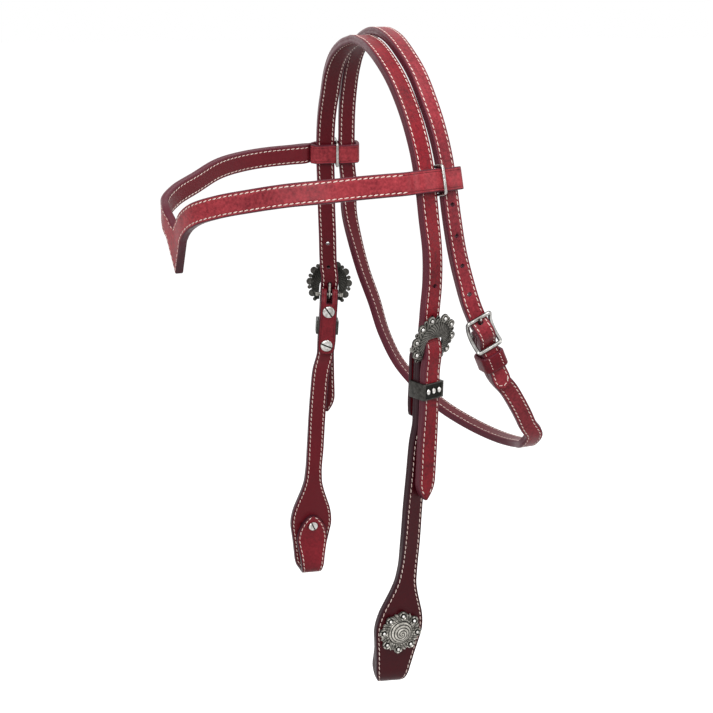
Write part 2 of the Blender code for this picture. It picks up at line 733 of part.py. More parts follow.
def make_cheekpiece(side, label, group, tools):
    name = label + "_cheekpiece"
    frame = buckle_frame(side)
    layer = stack()
    piece = add_object(name, ribbon(cheek_rows(side), ROUTE_STEP), leather(name), group)
    slot_height = 4.4 * layer["fold"]
    slot = box(frame.matrix(0.0, 0.0, 0.0), (5 * layer["fold"], 3.7 * CHEEK_TONGUE_RADIUS, slot_height))
    cut(piece, cutter(label + "_tongue_slot", slot, tools))
    outer = layer["main"] + PLY
    for key, height in screw_heights().items():
        spot = frame.at(layer["main"], 0.0, height)
        tool = cylinder(axis_matrix(spot, frame.out), POST_DIAMETER / 2 + FIT_GAP, 6 * STRAP_THICKNESS)
        cut(piece, cutter(f"{label}_{key}_screw_hole", tool, tools))
        depth = POST_HEAD_THICKNESS + 1.5 * FIT_GAP
        spot = frame.at(outer, 0.0, height)
        tool = cylinder(axis_matrix(spot, frame.out), POST_HEAD_DIAMETER / 2 + FIT_GAP, 2 * depth)
        cut(piece, cutter(f"{label}_{key}_head_recess", tool, tools))
    low = concho_frame(side)
    tool = cylinder(axis_matrix(low.origin, low.out), POST_DIAMETER / 2 + FIT_GAP, 6 * STRAP_THICKNESS)
    cut(piece, cutter(label + "_concho_hole", tool, tools))
    return piece


# Browband


def strap_frame(rows, side, height):
    """Where a strap passes a height: its middle, then its rear, outward and upward directions."""
    points, directions = smooth(rows, ROUTE_STEP / 4)
    low = int(np.argmax(points[:, 2] < height))
    share = (points[low - 1][2] - height) / (points[low - 1][2] - points[low][2])
    point = points[low - 1] + (points[low] - points[low - 1]) * share
    up = -unit(directions[low])
    rear = unit(point[3:6] - np.dot(point[3:6], up) * up)
    return point[:3], rear, side * np.cross(rear, up), up


def brow_straps(side):
    height = BROW_LOOP_HEIGHT_SHARE * POLL_TO_BIT
    table = THROAT_NEAR_SHARES if side > 0 else THROAT_FAR_SHARES
    crown = strap_frame(crown_rows(side), side, height)
    throat = strap_frame(share_rows(table, side, THROAT_WIDTH, THROAT_THICKNESS), side, height)
    return crown, throat


def brow_loop(side):
    """The wrapped end as rows: outer ply back past both straps, round, and forward again inside."""
    crown, throat = brow_straps(side)
    offset = PLY + SLIP_GAP + PLY / 2

    def place(strap, along, out):
        middle, rear, away, up = strap
        return (*(middle + rear * along + away * out), *up, BROW_WIDTH, PLY)

    half = STRAP_WIDTH / 2
    back = THROAT_WIDTH / 2
    rows = [place(crown, -1.66 * half, 0.25 * offset), place(crown, -1.32 * half, 0.66 * offset)]
    rows += [place(crown, -1.00 * half, offset), place(crown, -0.5 * half, offset)]
    rows += [place(crown, 0.5 * half, offset), place(crown, half, offset)]
    rows += [place(throat, -0.8 * back, offset), place(throat, 0.8 * back, offset)]
    corner = 0.6 * PLY
    for angle in (90, 45, 0, 0, -45, -90):
        a = math.radians(angle)
        level = (offset - corner) * (1 if len(rows) < 11 else -1) + corner * math.sin(a)
        rows.append(place(throat, back + SLIP_GAP + PLY / 2 - corner + corner * math.cos(a), level))
    rows += [place(throat, 0.8 * back, -offset), place(throat, -0.8 * back, -offset)]
    rows += [place(crown, half, -offset), place(crown, 0.5 * half, -offset)]
    rows += [place(crown, -0.5 * half, -offset), place(crown, -1.00 * half, -offset)]
    rows += [place(crown, -1.32 * half, -0.70 * offset), place(crown, -1.58 * half, -0.42 * offset)]
    return rows, crown


def brow_rings(side):
    rows = []
    for x, y, z, tilt in BROW_SHARES[side]:
        point = mirrored((x, y, z), side)
        t = math.radians(tilt)
        edge = (-side * math.sin(t), 0.0, math.cos(t))
        rows.append((*point, *edge, BROW_WIDTH, STRAP_THICKNESS))
    loop, (_, rear, away, _) = brow_loop(side)
    middle = np.array(loop[0])
    middle[:3] -= away * 0.25 * (PLY * 1.5 + SLIP_GAP) + rear * PLY
    middle[7] = STRAP_THICKNESS
    rows += [tuple(middle)] + loop
    points, directions = smooth(rows)
    rings = [section(p, d) for p, d in zip(points, directions)]
    slope = math.atan2(*(points[1] - points[0])[[2, 0]] * np.array((1, side)))
    return rings, slope


def make_browband(group):
    near, slope = brow_rings(1)
    far, _ = brow_rings(-1)
    tip = mirrored(BROW_TIP_SHARES, 1)
    height = BROW_WIDTH / math.cos(math.radians(62.0))
    row = np.array((*tip, 0.0, 0.0, 1.0, height, STRAP_THICKNESS))
    middle = section(row, np.array((1.0, 0.0, 0.0)))
    flipped = [ring_order(ring) for ring in far[::-1]]
    return add_object("browband", loft(flipped + [middle] + near), leather("browband"), group)


def ring_order(ring):
    """The same ring met from the other end, so that its corners follow on those of the near side."""
    order = (5, 4, 3, 2, 1, 0, 7, 6)
    return [ring[i] for i in order]


def make_browband_ring(side, label, group):
    name = label + "_browband_ring"
    crown, throat = brow_straps(side)
    front = crown[0] + crown[1] * STRAP_WIDTH / 2
    back = throat[0] - throat[1] * THROAT_WIDTH / 2
    wide = PLY * 2 + SLIP_GAP + 2.5 * FIT_GAP + RING_WIRE_RADIUS
    tall = BROW_WIDTH / 2 + SLIP_GAP + RING_WIRE_RADIUS
    corner = RING_WIRE_RADIUS * 1.6
    points = rounded_loop((front + back) / 2, unit(crown[2] + throat[2]), unit(crown[3] + throat[3]), wide, tall, corner)
    return wire(name, points, RING_WIRE_RADIUS, group, nickel(name), cyclic=True)


def rounded_loop(middle, first, second, wide, tall, corner):
    points = []
    for a, b, start in ((1, 1, 0), (-1, 1, 90), (-1, -1, 180), (1, -1, 270)):
        for angle in (0, 30, 60, 90):
            t = math.radians(start + angle)
            across = a * (wide - corner) + corner * math.cos(t)
            along = b * (tall - corner) + corner * math.sin(t)
            points.append(middle + first * across + second * along)
    return points


# Cart buckles


def buckle_outline():
    """Scalloped arch, as (across, up) in metres from the heel bar along the plate, clockwise from a foot."""
    wide = BUCKLE_WIDTH / 2
    tall = BUCKLE_HEIGHT
    lobes = (
        (0.52, -0.175, 0.115),
        (0.70, -0.045, 0.150),
        (0.83, 0.155, 0.150),
        (0.80, 0.365, 0.150),
        (0.66, 0.560, 0.150),
        (0.30, 0.690, 0.165),
    )
    inner_width = (STRAP_WIDTH / 2 + 3 * FIT_GAP) / wide
    centres = [(x * wide, y * tall, r * wide) for x, y, r in lobes]
    half = []
    for i, (x, y, r) in enumerate(centres):
        before = centres[i - 1] if i else (0.0, -tall, r)
        after = centres[i + 1] if i + 1 < len(centres) else (-x, y, r)
        start = math.atan2(y - before[1], x - before[0]) - math.radians(64 if i else 20)
        start = min(start, math.radians(40)) if i else math.radians(-120)
        ahead = math.atan2(after[1] - y, after[0] - x)
        first = start if not i else math.atan2(before[1] - y, before[0] - x) + math.radians(62)
        last = ahead - math.radians(62)
        while last < first:
            last += 2 * math.pi
        for j in range(5):
            a = first + (last - first) * j / 4
            half.append((x + r * math.cos(a), y + r * math.sin(a)))
    inner = [
        (inner_width * wide, -0.16 * tall),
        (inner_width * wide, 0.24 * tall),
        (0.90 * inner_width * wide, 0.30 * tall),
        (0.50 * inner_width * wide, 0.325 * tall),
    ]
    return half, inner


def make_buckle_frame(side, label, group, tools):
    name = label + "_cheek_buckle_frame"
    frame = buckle_frame(side)
    half, inner = buckle_outline()
    left = [(-x, y) for x, y in half[::-1]]
    around = half + left + [(-x, y) for x, y in inner] + inner[::-1]
    lean = math.radians(BUCKLE_LEAN)
    up = frame.up * math.cos(lean) + frame.out * math.sin(lean)
    normal = frame.out * math.cos(lean) - frame.up * math.sin(lean)
    stand_off = 2.2 * stack()["fold"]
    matrix = Matrix(np.column_stack((side * frame.rear, up, normal))).to_4x4()
    matrix.translation = frame.at(stand_off, 0.0, 0.0)
    body = plate(name, around, BUCKLE_PLATE, matrix, group, antique(name))
    reach = STRAP_WIDTH / 2 + 3 * FIT_GAP
    lug_width = 0.17 * BUCKLE_WIDTH / 2
    for sign, end in ((1, "rear"), (-1, "front")):
        deep = stand_off + BAR_RADIUS
        matrix = frame.matrix(deep / 2 - BAR_RADIUS, sign * (reach + lug_width / 2 + FIT_GAP), 0.0)
        lug = cutter(f"{label}_{end}_lug", box(matrix, (deep, lug_width, 2 * BAR_RADIUS)), tools)
        cut(body, lug, "UNION")
    bar = cylinder(axis_matrix(frame.origin, frame.rear), BAR_RADIUS * 0.97, 2 * reach + 1.2 * lug_width)
    cut(body, cutter(label + "_heel_bar", bar, tools), "UNION")
    return body


def tongue_points(frame, loop, angle, line):
    """Round the bar from clear of the shaft, then straight to the tip."""
    points = []
    for i in range(11):
        a = math.radians(angle + 90 + 262 * (10 - i) / 10)
        points.append(frame.at(loop * math.cos(a), 0.0, loop * math.sin(a)))
    points.append(frame.at(line[1][0], 0.0, line[1][1]))
    return points


def make_cheek_tongue(side, label, group):
    name = label + "_cheek_buckle_tongue"
    frame = buckle_frame(side)
    points = tongue_points(frame, *cheek_tongue())
    return wire(name, points, CHEEK_TONGUE_RADIUS, group, antique(name), origin=frame.origin)


def make_keeper(side, label, group, tools):
    name = label + "_cheek_keeper"
    frame = buckle_frame(side)
    layer = stack()
    middle = sum(screw_heights().values()) / 2
    inner_back = -BAR_RADIUS - 2 * FIT_GAP
    inner_front = layer["billet"] + PLY + FIT_GAP
    depth = inner_front - inner_back
    wide = STRAP_WIDTH + 2 * FIT_GAP
    centre = (inner_front + inner_back) / 2
    whole = (depth + KEEPER_BACK + KEEPER_FRONT, wide + 2 * KEEPER_SIDE, KEEPER_HEIGHT)
    shift = centre + (KEEPER_FRONT - KEEPER_BACK) / 2
    body = add_object(name, box(frame.matrix(shift, 0.0, middle), whole), antique(name), group)
    body.data.transform(Matrix.Translation(-Vector(frame.at(shift, 0.0, middle))))
    body.location = frame.at(shift, 0.0, middle)
    hollow = box(frame.matrix(centre, 0.0, middle), (depth, wide, 2 * KEEPER_HEIGHT))
    cut(body, cutter(label + "_keeper_hollow", hollow, tools))
    return body


# Screws and conchos


def turned(name, matrix, profile, group, look, sides=16):
    """A profile of (radius, height) points turned about the matrix's Z axis."""
    data = bpy.data.meshes.new(name)
    edges = [(i, i + 1) for i in range(len(profile) - 1)]
    data.from_pydata([(r, 0.0, h) for r, h in profile], edges, [])
    data.materials.append(look)
    made = bpy.data.objects.new(name, data)
    made.matrix_world = matrix
    group.objects.link(made)
    turn = made.modifiers.new("turn", "SCREW")
    turn.steps = sides
    turn.render_steps = sides
    turn.use_merge_vertices = True
    turn.merge_threshold = 0.00001
    turn.use_normal_calculate = False
    return made


def make_leather_screw(side, label, key, group):
    frame = buckle_frame(side)
    layer = stack()
    height = screw_heights()[key]
    outer = layer["main"] + PLY
    inner = layer["turnback"] - PLY / 2
    barrel_end = inner + FIT_GAP
    post = axis_matrix(frame.at(0.0, 0.0, height), frame.out)
    head_top = outer - FIT_GAP / 2
    head_base = head_top - POST_HEAD_THICKNESS
    bore = SCREW_DIAMETER / 2 + FIT_GAP
    bore_end = barrel_end + 0.6 * (head_base - barrel_end)
    look = nickel(f"{label}_{key}_post")
    turned(
        f"{label}_{key}_post",
        post,
        (
            (0.0, head_top),
            (POST_HEAD_DIAMETER / 2, head_top),
            (POST_HEAD_DIAMETER / 2, head_base),
            (POST_DIAMETER / 2, head_base),
            (POST_DIAMETER / 2, barrel_end),
            (bore, barrel_end),
            (bore, bore_end),
            (0.0, bore_end),
        ),
        group,
        look,
    )
    top = inner - FIT_GAP
    look = nickel(f"{label}_{key}_screw")
    turned(
        f"{label}_{key}_screw",
        post,
        (
            (0.0, bore_end - FIT_GAP),
            (SCREW_DIAMETER / 2, bore_end - FIT_GAP),
            (SCREW_DIAMETER / 2, top),
            (SCREW_HEAD_DIAMETER / 2, top),
            (SCREW_HEAD_DIAMETER / 2, top - 0.5 * SCREW_HEAD_THICKNESS),
            (0.40 * SCREW_HEAD_DIAMETER, top - 0.9 * SCREW_HEAD_THICKNESS),
            (0.0, top - SCREW_HEAD_THICKNESS),
        ),
        group,
        look,
    )


def make_concho(side, label, group):
    frame = concho_frame(side)
    matrix = axis_matrix(frame.origin, frame.out)
    face = PLY + FIT_GAP
    flap = -PLY - FIT_GAP - FLAP_THICKNESS
    bore = SCREW_DIAMETER / 2 + FIT_GAP
    bore_end = flap * 0.3
    radius = CONCHO_DIAMETER / 2
    top = face + CONCHO_HEIGHT
    name = label + "_concho"
    turned(
        name,
        matrix,
        (
            (0.0, top),
            (0.30 * radius, top - 0.06 * CONCHO_HEIGHT),
            (0.58 * radius, top - 0.30 * CONCHO_HEIGHT),
            (0.72 * radius, top - 0.50 * CONCHO_HEIGHT),
            (0.88 * radius, top - 0.30 * CONCHO_HEIGHT),
            (0.97 * radius, top - 0.50 * CONCHO_HEIGHT),
            (radius, face + 0.20 * CONCHO_HEIGHT),
            (0.97 * radius, face),
            (POST_DIAMETER / 2, face),
            (POST_DIAMETER / 2, flap + FIT_GAP),
            (bore, flap + FIT_GAP),
            (bore, bore_end),
            (0.0, bore_end),
        ),
        group,
        antique(name),
        sides=24,
    )
    name = label + "_concho_screw"
    head = flap - FIT_GAP
    turned(
        name,
        matrix,
        (
            (0.0, bore_end - FIT_GAP),
            (SCREW_DIAMETER / 2, bore_end - FIT_GAP),
            (SCREW_DIAMETER / 2, head),
            (CONCHO_SCREW_HEAD / 2, head),
            (CONCHO_SCREW_HEAD / 2, head - 0.5 * SCREW_HEAD_THICKNESS),
            (0.40 * CONCHO_SCREW_HEAD, head - 0.9 * SCREW_HEAD_THICKNESS),
            (0.0, head - SCREW_HEAD_THICKNESS),
        ),
        group,
        nickel(name),
    )


# Throat buckle


def make_throat_buckle(group, tools):
    name = "throat_buckle_frame"
    frame = throat_frame()
    wide = THROAT_FRAME_WIDTH / 2 - THROAT_WIRE_RADIUS
    tall = THROAT_FRAME_HEIGHT / 2 - THROAT_WIRE_RADIUS
    corner = THROAT_WIRE_RADIUS * 1.3
    flat = rounded_loop(np.zeros(3), np.array((0.0, 1.0, 0.0)), np.array((0.0, 0.0, 1.0)), wide, tall, corner)
    steps = [np.array((0.0, -wide, tall * k / 4)) for k in (2.4, 1.2, 0, -1.2, -2.4)]
    others = [np.array((0.0, wide, -tall * k / 4)) for k in (2.4, 1.2, 0, -1.2, -2.4)]
    flat = flat[:8] + steps + flat[8:] + others
    points = []
    for _, across, along in flat:
        out = THROAT_FRAME_ARCH * (along / tall) ** 2
        points.append(frame.at(out, across, along))
    body = wire(name, points, THROAT_WIRE_RADIUS, group, nickel(name), cyclic=True, origin=frame.origin)
    bar = cylinder(axis_matrix(frame.origin, frame.rear), THROAT_WIRE_RADIUS * 0.93, 2 * wide, sides=12)
    cut(body, cutter("throat_centre_bar", bar, tools), "UNION")
    return body


def make_throat_tongue(group):
    name = "throat_buckle_tongue"
    frame = throat_frame()
    points = tongue_points(frame, *throat_tongue())
    return wire(name, points, THROAT_TONGUE_RADIUS, group, nickel(name), origin=frame.origin)


def make_throat_keeper(group, tools):
    name = "throat_keeper"
    frame = throat_frame()
    under = billet_over_bar()[-1][0]
    end = THROAT_FRAME_HEIGHT / 2 - THROAT_WIRE_RADIUS
    band = under - THROAT_THICKNESS - FIT_GAP
    front = under + THROAT_PLY + SLIP_GAP
    back = band - THROAT_PLY - SLIP_GAP
    wide = THROAT_WIDTH + 2 * SLIP_GAP
    ply = 2 * THROAT_KEEPER_PLY
    height = -1.98 * end
    matrix = frame.matrix((front + back) / 2, 0.0, height)
    body = add_object(
        name, box(matrix, (front - back + ply, wide + ply, THROAT_KEEPER_LENGTH)), leather(name), group
    )
    hollow = box(matrix, (front - back, wide, 2 * THROAT_KEEPER_LENGTH))
    cut(body, cutter("throat_keeper_hollow", hollow, tools))
    edge = body.modifiers.new("rounded", "BEVEL")
    edge.width = THROAT_KEEPER_PLY / 4
    edge.segments = 1
    edge.limit_method = "ANGLE"
    return body


# The whole headstall


def build():
    clear_scene()
    group = collection("western_headstall")
    tools = collection("cutters")
    make_crown_strap(group, tools)
    make_throat_strap(group, tools)
    make_browband(group)
    for side, label in ((1, "left"), (-1, "right")):
        make_cheekpiece(side, label, group, tools)
        make_browband_ring(side, label, group)
        make_buckle_frame(side, label, group, tools)
        make_cheek_tongue(side, label, group)
        make_keeper(side, label, group, tools)
        make_leather_screw(side, label, "upper", group)
        make_leather_screw(side, label, "lower", group)
        make_concho(side, label, group)
    make_throat_buckle(group, tools)
    make_throat_tongue(group)
    make_throat_keeper(group, tools)


build()
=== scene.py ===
"""Western headstall: oxblood leather straps with cream stitching, antiqued cart buckles, keepers and conchos,
and nickel leather screws, rings and throat buckle. It hangs by the top of its crown strap."""

from math import asin, atan2, ceil, cos, hypot, pi, radians, sin, sqrt

import bmesh
import bpy
import numpy as np
from mathutils import Matrix, Vector


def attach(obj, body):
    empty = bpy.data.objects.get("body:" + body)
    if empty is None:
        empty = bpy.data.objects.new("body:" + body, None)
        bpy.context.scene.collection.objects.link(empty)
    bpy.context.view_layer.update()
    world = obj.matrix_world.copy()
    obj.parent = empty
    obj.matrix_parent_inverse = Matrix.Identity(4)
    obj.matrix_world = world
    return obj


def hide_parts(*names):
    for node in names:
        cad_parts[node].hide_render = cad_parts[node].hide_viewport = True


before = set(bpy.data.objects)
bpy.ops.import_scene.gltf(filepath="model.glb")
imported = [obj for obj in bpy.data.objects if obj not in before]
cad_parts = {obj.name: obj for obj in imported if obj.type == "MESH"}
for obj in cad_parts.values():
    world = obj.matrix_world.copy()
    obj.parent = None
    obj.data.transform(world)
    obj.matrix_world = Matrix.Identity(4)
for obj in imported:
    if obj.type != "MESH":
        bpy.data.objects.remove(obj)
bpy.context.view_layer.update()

# Camera at the photograph's angle, four soft lamps in front, above, behind and on the far side, a dim world
# and a pale floor under the bit loops. World and floor are white to the camera, and so is the background.
SENSOR, FOCAL, PICTURE = 36.0, 1134.0, 713.0
WHITE = (1.0, 1.0, 1.0, 1.0)
bpy.context.scene.view_settings.view_transform = "Standard"
sight = Matrix(((0.378649, -0.263642, 0.887197), (0.925541, 0.107859, -0.362962), (0, 0.958572, 0.284852)))
view = bpy.data.cameras.new("view")
view.sensor_width = SENSOR
view.lens = FOCAL / PICTURE * SENSOR
view.clip_start = 0.05
camera = bpy.data.objects.new("view", view)
camera.matrix_world = sight.to_4x4()
camera.location = (0.85364, -0.35285, 0.0179)
bpy.context.collection.objects.link(camera)
bpy.context.scene.camera = camera
LAMPS = (
    ("front_softbox", (1.05, -0.85, 0.55), (0.02, 0, -0.18), 0.9, 16.5),
    ("top_softbox", (0.4, 0.2, 0.85), (0.05, 0, -0.1), 0.6, 7.0),
    ("rear_softbox", (0.6, 1.2, 0.1), (0.05, 0, -0.22), 0.8, 2.6),
    ("far_softbox", (-1.2, -0.5, 0.35), (0, 0, -0.2), 0.9, 4.5),
)
for name, place, aim, size, power in LAMPS:
    lamp = bpy.data.lights.new(name, "AREA")
    lamp.shape = "RECTANGLE"
    lamp.size = lamp.size_y = size
    lamp.energy = power
    holder = bpy.data.objects.new(name, lamp)
    holder.location = place
    holder.rotation_euler = (Vector(aim) - Vector(place)).to_track_quat("-Z", "Y").to_euler()
    bpy.context.collection.objects.link(holder)


def put(tree, kind, inputs=None, **settings):
    """Adds a node, sets its properties and fills or links its inputs by name or number."""
    made = tree.nodes.new(kind)
    for key, value in settings.items():
        setattr(made, key, value)
    for key, value in (inputs or {}).items():
        slot = made.inputs[key]
        if isinstance(value, bpy.types.NodeSocket):
            tree.links.new(value, slot)
        else:
            slot.default_value = value
    return made

def seen_by_camera(tree):
    """1 for what the camera sees directly, in a reflection or through glass, and 0 for light."""
    ray = put(tree, "ShaderNodeLightPath").outputs
    seen = ray["Is Camera Ray"]
    for kind in ("Is Glossy Ray", "Is Transmission Ray"):
        seen = put(tree, "ShaderNodeMath", {0: seen, 1: ray[kind]}, operation="MAXIMUM").outputs[0]
    return seen


def as_object(name, bm, looks=()):
    """Makes an object of the scene from what was drawn."""
    mesh = bpy.data.meshes.new(name)
    bm.to_mesh(mesh)
    bm.free()
    for look in looks:
        mesh.materials.append(look)
    made = bpy.data.objects.new(name, mesh)
    bpy.context.collection.objects.link(made)
    return made


world = bpy.data.worlds.new("studio")
bpy.context.scene.world = world
world.use_nodes = True
tree = world.node_tree
tree.nodes.clear()
lit = put(tree, "ShaderNodeBackground", {"Color": WHITE, "Strength": 0.2})
seen = put(tree, "ShaderNodeBackground", {"Color": WHITE, "Strength": 1.0})
either = put(tree, "ShaderNodeMixShader", {0: seen_by_camera(tree), 1: lit.outputs[0], 2: seen.outputs[0]})
put(tree, "ShaderNodeOutputWorld", {"Surface": either.outputs[0]})

ground = bmesh.new()
bmesh.ops.create_grid(ground, x_segments=1, y_segments=1, size=30.0, matrix=Matrix.Translation((0, 0, -0.56)))
paint = bpy.data.materials.new("white_floor")
paint.use_nodes = True
tree = paint.node_tree
tree.nodes.clear()
matt = put(tree, "ShaderNodeBsdfDiffuse", {"Color": (0.4, 0.4, 0.4, 1.0)})
share = put(tree, "ShaderNodeMath", {0: seen_by_camera(tree), 1: 0.97}, operation="MULTIPLY")
glow = put(tree, "ShaderNodeEmission", {"Color": WHITE, "Strength": share.outputs[0]})
both = put(tree, "ShaderNodeAddShader", {0: matt.outputs[0], 1: glow.outputs[0]})
put(tree, "ShaderNodeOutputMaterial", {"Surface": both.outputs[0]})
as_object("studio_floor", ground, [paint])

# Crown strap: two plies of oxblood harness leather, glued, edge-stitched and punched, which goes over the
# poll and ends each side as a pointed billet over its buckle's heel bar. It is drawn along its route from
# one pointed end to the other, with the same cut section all the way.
SIDES = ((1, "left"), (-1, "right"))
HALF_HEAD, REACH, DROP = 0.11, 0.16, 0.5
STRAP, THICK = 0.016, 0.0064
PLY = THICK / 2
FIT = 0.0003
MM = 0.001
BAR = 0.0017
HOLE, HOLE_STEP = 0.0017, 0.0245


class Spot:
    """A place on the headstall with directions outward from the head, rearward and upward."""

    def __init__(self, shares, side, turn, lean=0.0):
        t, a = radians(turn), radians(lean)
        self.origin = np.array((side * shares[0] * HALF_HEAD, shares[1] * REACH, shares[2] * DROP))
        self.side = side
        self.out = np.array((side * cos(t), sin(t), 0))
        rear = np.array((-side * sin(t), cos(t), 0))
        up = np.array((0, 0, 1.0))
        self.rear = rear * cos(a) - up * sin(a)
        self.up = up * cos(a) + rear * sin(a)

    def at(self, out, rear, up):
        return self.origin + self.out * out + self.rear * rear + self.up * up

    def grid(self, out=0.0, rear=0.0, up=0.0, lean=0.0):
        """A matrix whose X is across the strap, Y up it and Z outward, tipped outward by lean degrees."""
        a = radians(lean)
        high = self.up * cos(a) + self.out * sin(a)
        away = self.out * cos(a) - self.up * sin(a)
        made = Matrix(np.column_stack((self.rear * self.side, high, away))).to_4x4()
        made.translation = Vector(self.at(out, rear, up))
        return made

    def rows(self, table, width, thick, unit):
        """Route rows from (out, up in units) or (out, up in units, width, thickness)."""
        return [(*self.at(e[0], 0, e[1] * unit), *self.rear, *(e[2:] or (width, thick))) for e in table]


def head_rows(table, side, width, thick):
    """Route rows from thousandths of half head, reach and drop, and the turn of the rear edge."""
    rows = []
    for x, y, z, turn in table:
        t = radians(turn)
        place = (side * x * MM * HALF_HEAD, y * MM * REACH, z * MM * DROP)
        rows.append((*place, -side * sin(t), cos(t), 0, width, thick))
    return rows


def unit(vector):
    return vector / np.linalg.norm(vector)


def travel(rows, step=0.0022):
    """Stations of a smooth route: middle, edge, face and way on, width, thickness, distance, row."""
    rows = np.array(rows, float)
    gaps = np.linalg.norm(np.diff(rows[:, :3], axis=0), axis=1)
    slopes = np.diff(rows, axis=0) / gaps[:, None]
    inner = (gaps[1:, None] * slopes[:-1] + gaps[:-1, None] * slopes[1:]) / (gaps[1:] + gaps[:-1])[:, None]
    tangents = np.vstack([slopes[:1], inner, slopes[-1:]])
    stations = []
    for i, gap in enumerate(gaps):
        parts = max(2, ceil(gap / step))
        for j in range(parts + (i == len(gaps) - 1)):
            t = j / parts
            a, b = 2 * t**3 - 3 * t**2 + 1, 3 * t**2 - 2 * t**3
            c, d = t**3 - 2 * t**2 + t, t**3 - t**2
            value = a * rows[i] + b * rows[i + 1] + gap * (c * tangents[i] + d * tangents[i + 1])
            slope = (6 * t**2 - 6 * t) * (rows[i] - rows[i + 1]) / gap
            slope = slope + (3 * t**2 - 4 * t + 1) * tangents[i] + (3 * t**2 - 2 * t) * tangents[i + 1]
            along = unit(slope[:3])
            edge = unit(value[3:6] - np.dot(value[3:6], along) * along)
            stations.append([value[:3], edge, np.cross(along, edge), along, value[6], value[7], 0, i + t])
    for before, after in zip(stations, stations[1:]):
        after[6] = before[6] + np.linalg.norm(after[0] - before[0])
    return stations


def turned_back(stations, sign=1):
    """The same stations met from the other end, and the numbers of their rows times the sign."""
    back = stations[::-1]
    return [[m, edge, -face, -along, w, t, -s, sign * row] for m, edge, face, along, w, t, s, row in back]


CUT_EDGE = (
    (0.1, 0), (0, 0.16), (0, 0.62), (0.12, 0.8), (0.42, 0.94), (0.85, 1), (1.2, 1), (1.4, 0.955), (1.6, 1),
    (1.95, 1), (2.3, 0.93), (2.65, 1), (4, 1),
)


def cut_section(station, turned):
    """The cut end's outline: square edge with its glue line, rounded corner, crease and stitch groove."""
    middle, edge, face, _, width, thick, *_ = station
    half, deep = width / 2, thick / 2
    pinch = min(1.0, half / 0.0048)
    quarter = [(half - inset * MM * pinch, depth * deep) for inset, depth in CUT_EDGE] + [(0, deep)]
    upper = quarter + [(-a, b) for a, b in quarter[-2::-1]]
    around = upper + [(-a, -b) for a, b in quarter[1:]] + [(a, -b) for a, b in quarter[-2:0:-1]]
    return [(middle + edge * a + face * b, half - abs(a), float((b < 0) != turned)) for a, b in around]


def sweep(rings, closed=False, words=()):
    """Extrudes a ring of points to each next one. Values after a point go under the words."""
    bm = bmesh.new()
    notes = [bm.verts.layers.float.new(word) for word in words]
    number = bm.verts.layers.int.new("number")
    ring = bmesh.ops.create_circle(bm, segments=len(rings[0]), radius=0.01)["verts"]
    for i, vert in enumerate(ring):
        vert[number] = i
    first = edges = bm.edges[:]
    for k, places in enumerate(rings):
        if k:
            made = bmesh.ops.extrude_edge_only(bm, edges=edges)["geom"]
            ring = {part for part in made if isinstance(part, bmesh.types.BMVert)}
            edges = [part for part in made if isinstance(part, bmesh.types.BMEdge) and ring.issuperset(part.verts)]
        for vert in ring:
            vert.co, *values = places[vert[number]]
            for note, value in zip(notes, values):
                vert[note] = value
    if closed:
        bmesh.ops.bridge_loops(bm, edges=first + edges)
    else:
        for end in (first, edges):
            bmesh.ops.contextual_create(bm, geom=end)
    return bm


def settle(piece, node, body="headstall"):
    """Sets a piece on its body, in place of its CAD node if it has one."""
    if node:
        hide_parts(node)
    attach(piece, body)


def lay_strap(name, stations, look, turned=False):
    """Draws the cut end along the route, with the flesh side under its face, or over it when turned."""
    bm = sweep([cut_section(station, turned) for station in stations], words=("rim", "flesh"))
    bmesh.ops.recalc_face_normals(bm, faces=bm.faces)
    for face in bm.faces:
        face.smooth = len(face.verts) == 4
    return as_object(name, bm, [look])


def punch(piece, tools):
    """Cuts the tools out of a piece for good, and takes them away."""
    for tool in tools:
        step = piece.modifiers.new("punch", "BOOLEAN")
        step.solver = "EXACT"
        step.object = tool
    graph = bpy.context.evaluated_depsgraph_get()
    done = bpy.data.meshes.new_from_object(piece.evaluated_get(graph))
    piece.modifiers.clear()
    piece.data = done
    for tool in tools:
        bpy.data.objects.remove(tool)


def add_pin(bm, middle, axis, radius, length, sides):
    along = Vector(axis).to_track_quat("Z", "Y").to_matrix().to_4x4()
    along.translation = Vector(middle)
    size = {"segments": sides, "radius1": radius, "radius2": radius, "depth": length}
    bmesh.ops.create_cone(bm, cap_ends=True, matrix=along, **size)


def pin_tool(middle, axis, radius, length):
    bm = bmesh.new()
    add_pin(bm, middle, axis, radius, length, 24)
    return as_object("pin_tool", bm)


